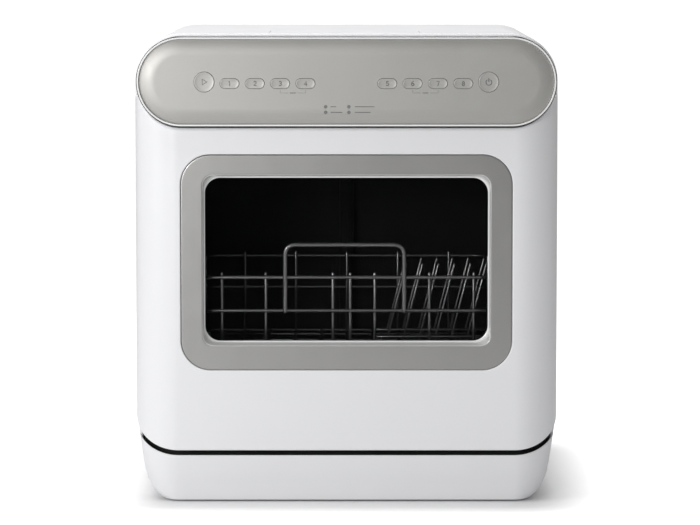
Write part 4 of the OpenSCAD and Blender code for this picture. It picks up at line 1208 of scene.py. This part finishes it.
@dataclass
class Plinth(Assembly):
    """White tray under the door and cabinet, drawn in towards the floor."""

    low: float = 1.8
    wall: float = 2.5
    brim: float = 85.0
    rear_r: float = 8.0

    @staticmethod
    def curl(z: Points) -> Points:
        """How far the sides curl in: 18 (1 - sqrt(1 - b^2)), where b = (34 - z) / 32 below z = 34."""
        below = np.clip((34.0 - z) / 32.0, 0.0, 1.0)
        return 18.0 * (1 - np.sqrt(1 - below**2))

    def plan(self, s: Points, z: Points, extra: float) -> Points:
        """Place on the plan's loop at parameter s and height z.

        The loop runs from the middle of the rear over the right side and the front to the left side. The
        inset is 12.65 (85 - z) / 82.7 + curl(z) + extra. The front corners are circles of radius 44 - inset,
        moved forward so far that the front curls in by no more than 2. The rear corners have radius 8.

        Args:
            s: Number of the column, which grows round the loop.
            z: Height, one row per column.
            extra: Distance inwards from the outer face.

        Returns:
            x and y in the last axis.
        """
        names, values = self.columns()
        inset = 12.65 * (self.brim - z) / 82.7 + self.curl(z) + extra
        forward = np.maximum(self.curl(z) - 2.0, 0.0)
        side, value, stretch, small = names[:, 0][s], values[s], names[:, 1][s], self.rear_r
        big = np.maximum(CORNER_R - inset, 0.5)
        cos, sin = np.cos(value), np.sin(value)
        rear_x, rear_y = HALF_W - small - inset, REAR_Y - small - inset
        places = {
            Stretch.FRONT_CORNER: (side * (CORNER_X + big * sin), SEAM_Y - forward - big * cos),
            Stretch.FRONT: (value, DOOR_Y + inset - forward),
            Stretch.SIDE: (side * (HALF_W - inset), value),
            Stretch.REAR_CORNER: (side * (rear_x + small * sin), rear_y + small * cos),
            Stretch.REAR: (value, REAR_Y - inset),
        }
        x = np.select([stretch == kind for kind in places], [place[0] for place in places.values()])
        y = np.select([stretch == kind for kind in places], [place[1] for place in places.values()])
        return np.stack([x, y], axis=-1)

    @staticmethod
    def columns() -> tuple[Points, Points]:
        """Side and stretch of each column, and its value: an angle at a corner and else x or y."""
        turn = np.linspace(0.0, math.pi / 2, 33)
        rear = np.linspace(0.0, math.pi / 2, 9)
        side = np.array([-165.0, -163.5, -160.0, -80.0, 40.0, 150.0])
        parts = [
            (0, Stretch.REAR, np.array([0.0, 100.0])),
            (1, Stretch.REAR_CORNER, rear),
            (1, Stretch.SIDE, side[::-1]),
            (1, Stretch.FRONT_CORNER, turn[::-1]),
            (0, Stretch.FRONT, np.array([120.0, 60.0, 0.0, -60.0, -120.0])),
            (-1, Stretch.FRONT_CORNER, turn),
            (-1, Stretch.SIDE, side),
            (-1, Stretch.REAR_CORNER, rear[::-1]),
            (0, Stretch.REAR, np.array([-100.0])),
        ]
        names = np.concatenate([np.tile([[sign, int(kind)]], (len(v), 1)) for sign, kind, v in parts])
        return names, np.concatenate([v for _, _, v in parts])

    def top(self, x: Points, y: Points) -> Points:
        """Height of the tray's upper edge: the slit's line in front of the seam and z = 85 behind it.

        In front it is z = 81 - 33 sqrt(1 - ((|x| - 168) / 46)^2), which is 48 between the corners.
        """
        k = np.clip((np.abs(x) - CORNER_X) / 46.0, 0.0, 1.0)
        return np.where(y < SEAM_Y + 0.9, 81.0 - 33.0 * np.sqrt(1 - k**2), self.brim)

    def sheet(self, extra: float, floor: float, drop: float) -> Points:
        """The tray's wall as a grid of rings from its floor to its upper edge.

        Args:
            extra: Inset added at every height.
            floor: Height of the lowest ring.
            drop: Distance by which the upper edge is lowered.

        Returns:
            Points with shape (rows, columns, 3).
        """
        names, _ = self.columns()
        s = np.arange(len(names))
        top = np.full(len(s), 60.0)
        for _ in range(6):
            xy = self.plan(s, top, extra)
            top = self.top(xy[:, 0], xy[:, 1])
        level = np.array([0.0, 0.02, 0.06, 0.12, 0.2, 0.3, 0.42, 0.56, 0.7, 0.85, 0.93, 1.0])[:, None]
        z = floor + (top - drop - floor) * level
        xy = self.plan(s[None, :].repeat(len(level), 0), z, extra)
        return np.concatenate([xy, z[..., None]], axis=-1)

    def build(self) -> None:
        """Makes the tray from its outer wall, its rounded upper edge and its inner wall."""
        outer = self.sheet(0.0, self.low, 0.9)
        inner = self.sheet(self.wall, self.low + self.wall, 0.9)[::-1]
        curve = ((0.3, 0.25), (1.0, 0.0), (self.wall - 0.6, 0.1))
        lip = [self.sheet(extra, self.low, drop)[-1:] for extra, drop in curve]
        shelf = slab(203.0, 6.9, 1.0, 82.0, 84.9, Plane.TOP, (0.0, 206.5), 0.3, 4)
        tray = loft(np.concatenate([outer, *lip, inner]))
        self.add("plinth_tray", [tray, shelf], WHITE, "cabinet", ["base_shell"])
        corners = np.array([[0.0, 0.0], [10.6, 0.0], [11.0, 2.4], [4.0, 2.4], [4.0, 6.9], [0.0, 6.9]])
        profile = soften(corners, [0, 0.8, 0.2, 0.1, 0.1, 0], 4, False)
        feet = [revolved(profile, (x, y, 0.0), Plane.TOP) for x in (-152.0, 152.0) for y in (-170.0, 176.0)]
        self.add("rubber_feet", feet, RUBBER, "cabinet", ["feet"])


@dataclass
class Chamber(Assembly):
    """Wash chamber with its seal and spray arms."""

    arm_y: float = -5.0

    def build(self) -> None:
        """Makes the tub as one shell of rings, then what stands in it.

        Each row is a ring: half width, half height, corner radius, depth and height of its centre.
        """
        box, flange, mouth = 229.0, 232.0, 227.0
        rows = np.array(
            [
                [100.0, 80.0, 20.0, 150.0, box],
                [160.0, 125.0, 20.0, 150.0, box],
                [164.6, 129.6, 17.5, 148.6, box],
                [166.0, 131.0, 16.0, 145.0, box],
                [166.0, 131.0, 16.0, -159.9, box],
                [208.6, 139.6, 1.2, -159.9, flange],
                [209.0, 140.0, 1.5, -160.3, flange],
                [209.0, 140.0, 1.5, -161.6, flange],
                [208.6, 139.6, 1.2, -162.0, flange],
                [159.2, 118.2, 15.0, -162.0, mouth],
                [158.3, 117.3, 14.3, -161.7, mouth],
                [158.0, 117.0, 14.0, -161.0, mouth],
                [158.0, 117.0, 14.0, -158.4, mouth],
                [158.6, 117.6, 14.0, -158.0, mouth],
                [163.6, 128.4, 14.0, -158.0, box],
                [164.0, 129.0, 14.0, -157.0, box],
                [164.0, 129.0, 14.0, 140.0, box],
                [162.8, 127.8, 14.0, 146.0, box],
                [158.0, 123.0, 14.0, 148.0, box],
                [100.0, 80.0, 14.0, 148.0, box],
            ]
        )
        hw, hh, r, depth, z = rows.T
        obj = solid("wash_chamber_liner", [loft(rings(hw, hh, r, depth, Plane.FRONT, (0.0, z), 14))])
        front = (-170.0, -150.0, Plane.FRONT)
        holes = {
            "sump": self.bore(60.1, 90.0, 110.0, Plane.TOP, (43.0, self.arm_y), 24),
            "riser pipe": self.bore(8.1, 90.0, 110.0, Plane.TOP, (0.0, 134.0), 10),
            "float": self.bore(3.0, 90.0, 110.0, Plane.TOP, (-132.0, -122.0), 6),
            "drying air": self.bore(14.0, 159.0, 174.0, Plane.SIDE, (40.0, 260.0), 12),
            "magnet": slab(15.3, 5.3, 0.2, *front, (0.0, 365.0), 0.05, 3),
            "door switch": self.bore(1.9, *front, (70.0, 366.0), 6),
        }
        cut(obj, list(holes.values()), 0.25)
        self.seat(obj, TUB, "cabinet", ["tub"])
        lip = [[0.0, -162.0], [0.0, -164.0], [-1.5, -165.7], [-5.5, -165.4], [-8.0, -163.6], [-8.0, -162.0]]
        seal = trim_ring(soften(np.array(lip), 0.7, 4), 169.0, 128.0, 24.0, Plane.FRONT, (0.0, mouth), 14)
        self.add("chamber_seal", [seal], RUBBER, "cabinet", ["tub_seal"])
        self.spray("lower_spray", "lower_spray_arm", 108.0, 125.0, 15.0, 8.05, 7)
        self.spray("upper_spray", "upper_spray_arm", 316.4, 110.0, 12.0, 6.05, 6)

    @staticmethod
    def bore(r: float, lo: float, hi: float, plane: Plane, centre: tuple[float, float], steps: int) -> Skin:
        """A round hole of radius r between two depths."""
        return slab(r, r, r, lo, hi, plane, centre, 0.05, steps)

    def spray(self, name: str, node: str, z: float, reach: float, hub: float, bore: float, jets: int) -> None:
        """Makes a spray arm: a flat tapered tube with a hub and a raised lip round each jet.

        Across the arm the section is a superellipse of power 3 with half width w and half height h. Along
        it, w falls from 17 at the hub to 8 at the tip, and both close there as a quarter circle.

        Args:
            name: Name of the piece.
            node: The CAD node that it replaces, which is also its body.
            z: Underside of the arm.
            reach: Length of each half.
            hub: Radius of the hub.
            bore: Radius of the hole for the spindle.
            jets: Number of jets on each half.
        """
        tip_u = np.linspace(0.94, 1.0, 9)[1:]
        u = np.concatenate([-tip_u[::-1], np.linspace(-0.94, 0.94, 41), tip_u])
        tip = np.sqrt(np.clip(1 - (np.maximum(np.abs(u) - 0.94, 0.0) / 0.06) ** 2, 1e-6, 1.0))
        w = (8.0 + 9.0 * (1 - np.abs(u))) * tip
        h = 4.5 * np.maximum(tip, 0.3) * (1 - 0.12 * np.abs(u))
        a = np.linspace(0.0, 2 * math.pi, 28, endpoint=False)
        cy = np.sign(np.cos(a)) * np.abs(np.cos(a)) ** (2 / 3)
        cz = np.sign(np.sin(a)) * np.abs(np.sin(a)) ** (2 / 3)
        x = np.broadcast_to((u * reach)[:, None], (len(u), len(a)))
        stack = np.stack([x, self.arm_y + w[:, None] * cy, z + 4.5 + h[:, None] * cz], axis=-1)
        obj = solid(name, [loft(stack)], math.radians(60))
        bosses = []
        for side in (-1, 1):
            for i in range(1, jets + 1):
                bosses.append((side * (reach - 12.0 * i), self.arm_y + side * (2.5 if i % 2 == 0 else -2.5)))
        cut(obj, [self.bore(bore, z - 3, z + 16, Plane.TOP, (0.0, self.arm_y), 12)])
        self.seat(obj, GREY, node, [node])
        ring = soften(np.array([[-1.0, z + 4.0], [1.2, z + 4.0], [0.5, z + 8.95], [-1.0, z + 8.95]]), 0.3, 3)
        lips = [trim_ring(ring, 1.9, 1.9, 1.9, Plane.TOP, place, 4) for place in bosses]
        top, inner = z + 13.0, bore - hub
        collar = soften(np.array([[0.0, z], [0.0, top], [inner, top], [inner, z]]), 1.2, 4)
        lips.append(trim_ring(collar, hub, hub, hub, Plane.TOP, (0.0, self.arm_y), 12))
        self.add(f"{name}_jets", lips, GREY, node)


@dataclass
class Rack(Assembly):
    """Coated wire basket with its plate tines and arch handle."""

    half_w: float = 154.0
    y0: float = -148.0
    y1: float = 116.0
    corner: float = 19.0
    floor_z: float = 141.0
    rail_low: float = 188.0
    rail_high: float = 222.0
    wire: float = 2.0
    thin: float = 1.7

    def loop(self, z: float) -> Skin:
        """One flat turn of wire round the basket at height z."""
        mid, half_d = (self.y0 + self.y1) / 2, (self.y1 - self.y0) / 2
        path = rings(self.half_w, half_d, self.corner, z, Plane.TOP, (0.0, mid), 10)[0]
        return tube(path, self.wire, (0, 0, 1), 16, closed=True)

    def build(self) -> None:
        """Makes loops, uprights, floor wires, tines and handle."""
        loops = [self.loop(self.rail_low), self.loop(self.rail_high)]
        inside = self.wire + self.thin - 0.4
        posts = [(x, self.y0 + inside) for x in (-126.5, -82.0, -14.0, 3.6, 28.5, 84.0, 129.0)]
        posts += [(x, self.y1 - inside) for x in (-110.0, -55.0, 0.0, 55.0, 110.0)]
        posts += [(s * (self.half_w - inside), y) for s in (-1, 1) for y in (-105.0, -50.0, 5.0, 60.0)]
        uprights = [rod((x, y, self.floor_z + 2.1), (x, y, 225.6), self.thin) for x, y in posts]
        self.add("basket_frame", loops + uprights, RACK, "rack", ["rack_frame"])
        floor = [self.loop(self.floor_z)]
        for x in np.arange(-110.0, 111.0, 27.5):
            floor.append(rod((x, self.y0, self.floor_z), (x, self.y1, self.floor_z), self.thin))
        cross_z = self.floor_z - self.wire + self.thin - 0.4
        for y in (-100.0, 20.0, 80.0):
            floor.append(rod((-132.0, y, cross_z), (132.0, y, cross_z), self.thin))
        self.add("basket_floor", floor, RACK, "rack", ["rack_floor"])
        self.tines()
        self.handle()

    def tines(self) -> None:
        """Two rows of leaning tines on their foot wires."""
        foot, lean, first, pitch, count = self.floor_z + 13.0, math.radians(15.0), 42.0, 16.5, 6
        wires = []
        for y in (-76.0, -6.0):
            wires.append(rod((first - 10.0, y, foot), (first + pitch * count, y, foot), self.thin))
            for i in range(count):
                x = first + pitch * i
                tip = (x + 76.0 * math.sin(lean), y + 2.9, foot + 74.6)
                wires.append(rod((x, y + 2.9, foot - 2.0), tip, 1.3))
        wires += [rod((x, -82.0, foot - 2.9), (x, 0.0, foot - 2.9), self.thin) for x in (36.0, 135.0)]
        self.add("basket_tines", wires, RACK, "rack", ["plate_tines"])

    def handle(self) -> None:
        """Arch handle: a wire up, over and down, with rounded shoulders."""
        r, y = 2.5, -152.52
        half, crown = 62.75 - r, 258.0 - r
        left, right, foot = -2 - half, -2 + half, 185.0 + r
        corners = np.array([[left, y, foot], [left, y, crown], [right, y, crown], [right, y, foot]])
        path = soften(corners, [0, 11.0, 11.0, 0], 10, closed=False)
        self.add("basket_handle", [tube(path, r, (0, 1, 0), 20)], RACK, "rack", ["rack_handle"])


class HiddenParts(Assembly):
    """Finishes for the CAD nodes that are shown as they are."""

    NODES: ClassVar[dict[Finish, str]] = {
        WHITE: "rear_panel filler_basin inlet_valve",
        STEEL: "rear_screws base_pan rack_rails fine_filter water_heater hinge_brackets latch_magnet"
        " hinge_pins door_strike",
        # slit_band is painted shade: a black band in the slit between door and plinth, where the slit holds
        # only shadow.
        BLACK_AND_PAINTED_SHADE: "slit_band cord_gland door_switch",
        GREY: "filler_tube drain_port wash_pump drain_pump fan_housing coarse_filter",
        TUB: "sump riser_pipe",
        NATURAL: "water_tank pump_impeller fan_wheel float",
        BOARD: "control_board",
        LENS: "indicator_lenses",
        LINER: "door_liner",
    }

    def build(self, nodes: dict[str, bpy.types.Object]) -> None:
        """Dresses each CAD node that no piece replaces."""
        finishes = {name: finish for finish, names in self.NODES.items() for name in names.split()}
        for name, obj in nodes.items():
            if obj.hide_render:
                continue
            finish = finishes.get(name, WHITE)
            self.shop.dress(obj, finish)
            LOG.info("CAD node %s in %s", name, finish.name)


# Studio


@dataclass
class Studio:
    """Pale floor, soft lights and the camera at the photograph's view."""

    eye: tuple[float, float, float] = (0.0035, -3.970, 0.567)
    aim_z: float = 0.2424
    aim_y: float = -0.210
    photo_width: int = 700
    sensor: float = 36.0
    ambient: float = 0.325

    LIGHTS: ClassVar[dict[str, tuple[Place, Place, float, float]]] = {
        "key_from_left": ((-0.98, -0.86, 0.62), (0.0, -0.16, 0.24), 0.8, 4.7),
        "front_left": ((-0.93, -3.0, 0.66), (0.0, -0.2, 0.24), 0.5, 18.0),
        "top_softbox": ((-0.25, 0.05, 2.0), (0.0, 0.0, 0.0), 1.6, 27.0),
    }

    def build(self) -> None:
        """Makes floor, lights, sky and camera."""
        self.floor()
        for name, (at, to, size, power) in self.LIGHTS.items():
            self.light(name, at, to, size, power)
        self.sky()
        self.camera()

    @staticmethod
    def floor() -> None:
        """A wide pale floor with a painted glow that only the camera sees: faint next to the object, so that
        its shadow shows there, and near white further out, where it paints over the rest of the object's
        shadow.

        Its glow rises smoothly with the distance d = |max(|P| - footprint, 0)| from 0 to 0.12 m.
        """
        mesh = bpy.data.meshes.new("studio_floor")
        side, footprint, none = 12.0, (0.174, 0.212, 0.0), (0.0, 0.0, 0.0)
        corners = [(-side, -side, 0), (side, -side, 0), (side, side, 0), (-side, side, 0)]
        mesh.from_pydata(corners, [], [(0, 1, 2, 3)])
        floor = bpy.data.objects.new("studio_floor", mesh)
        bpy.context.scene.collection.objects.link(floor)
        mat = bpy.data.materials.new("pale_floor_with_painted_glow")
        mat.use_nodes = True
        tree, link = mat.node_tree, mat.node_tree.links.new
        shader = tree.nodes["Principled BSDF"]
        set_inputs(shader, {"Base Color": (0.82, 0.82, 0.825, 1.0), "Emission Color": (1.0, 1.0, 1.0, 1.0)})
        set_inputs(shader, {"Roughness": 0.85, "Specular IOR Level": 0.1})
        last = shader_node(tree, "TexCoord").outputs["Object"]
        steps = (("ABSOLUTE", None), ("SUBTRACT", footprint), ("MAXIMUM", none), ("LENGTH", None))
        for operation, operand in steps:
            step = shader_node(tree, "VectorMath", operation=operation)
            if operand:
                step.inputs[1].default_value = operand
            link(last, step.inputs[0])
            last = step.outputs["Value" if operation == "LENGTH" else "Vector"]
        # Painted glow: strength of the camera-only glow, from 0.02 at the footprint to 0.8 at 0.12 m, which
        # paints out the object's shadow away from it.
        lift = shader_node(tree, "MapRange", interpolation_type="SMOOTHSTEP")
        set_inputs(lift, {"From Min": 0.0, "From Max": 0.12, "To Min": 0.02, "To Max": 0.8})
        path, painted_glow = shader_node(tree, "LightPath"), shader_node(tree, "Math", operation="MULTIPLY")
        link(last, lift.inputs["Value"])
        link(path.outputs["Is Camera Ray"], painted_glow.inputs[0])
        link(lift.outputs[0], painted_glow.inputs[1])
        link(painted_glow.outputs[0], shader.inputs["Emission Strength"])
        mesh.materials.append(mat)

    @staticmethod
    def light(name: str, at: Place, to: Place, size: float, power: float) -> None:
        """Adds a square softbox.

        Args:
            name: Its name.
            at: Its place in metres.
            to: The point that it faces.
            size: Its side.
            power: Its power in watts.
        """
        data = bpy.data.lights.new(name, "AREA")
        data.shape, data.size, data.energy = "SQUARE", size, power
        obj = bpy.data.objects.new(name, data)
        obj.location = Vector(at)
        obj.rotation_euler = (Vector(to) - Vector(at)).to_track_quat("-Z", "Y").to_euler()
        bpy.context.scene.collection.objects.link(obj)

    def sky(self) -> None:
        """White surroundings: full white where the camera sees them, softer as a light."""
        world = bpy.data.worlds.new("white_room")
        world.use_nodes = True
        tree = world.node_tree
        path, mix = shader_node(tree, "LightPath"), shader_node(tree, "Mix", data_type="FLOAT")
        set_inputs(mix, {"A": self.ambient, "B": 1.05})
        tree.links.new(path.outputs["Is Camera Ray"], mix.inputs["Factor"])
        back = tree.nodes["Background"]
        set_inputs(back, {"Color": (1.0, 1.0, 1.0, 1.0)})
        tree.links.new(mix.outputs[0], back.inputs["Strength"])
        bpy.context.scene.world = world

    def camera(self) -> None:
        """Places the camera so that one photograph pixel is one millimetre at the door's face."""
        data = bpy.data.cameras.new("photo_view")
        eye, aim = Vector(self.eye), Vector((self.eye[0], self.aim_y, self.aim_z))
        data.sensor_fit, data.sensor_width = "HORIZONTAL", self.sensor
        data.lens = 1.0035 * self.sensor * (aim - eye).length / (self.photo_width * MM)
        data.clip_start, data.clip_end = 0.1, 60.0
        obj = bpy.data.objects.new("photo_view", data)
        obj.location = eye
        obj.rotation_euler = (aim - eye).to_track_quat("-Z", "Y").to_euler()
        bpy.context.scene.collection.objects.link(obj)
        bpy.context.scene.camera = obj
        view = bpy.context.scene.view_settings
        view.view_transform, view.look = "Standard", "None"
        view.exposure, view.gamma = 0.0, 1.0


def main() -> None:
    logging.basicConfig(level=logging.INFO, format="%(name)s: %(message)s")
    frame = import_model()
    shop = FinishShop()
    for part in (Cabinet(shop), Head(shop), Door(shop), Plinth(shop), Chamber(shop), Rack(shop)):
        part.build()
        part.report()
    HiddenParts(shop).build(frame["nodes"])
    Studio().build()


if __name__ == "__main__":
    main()
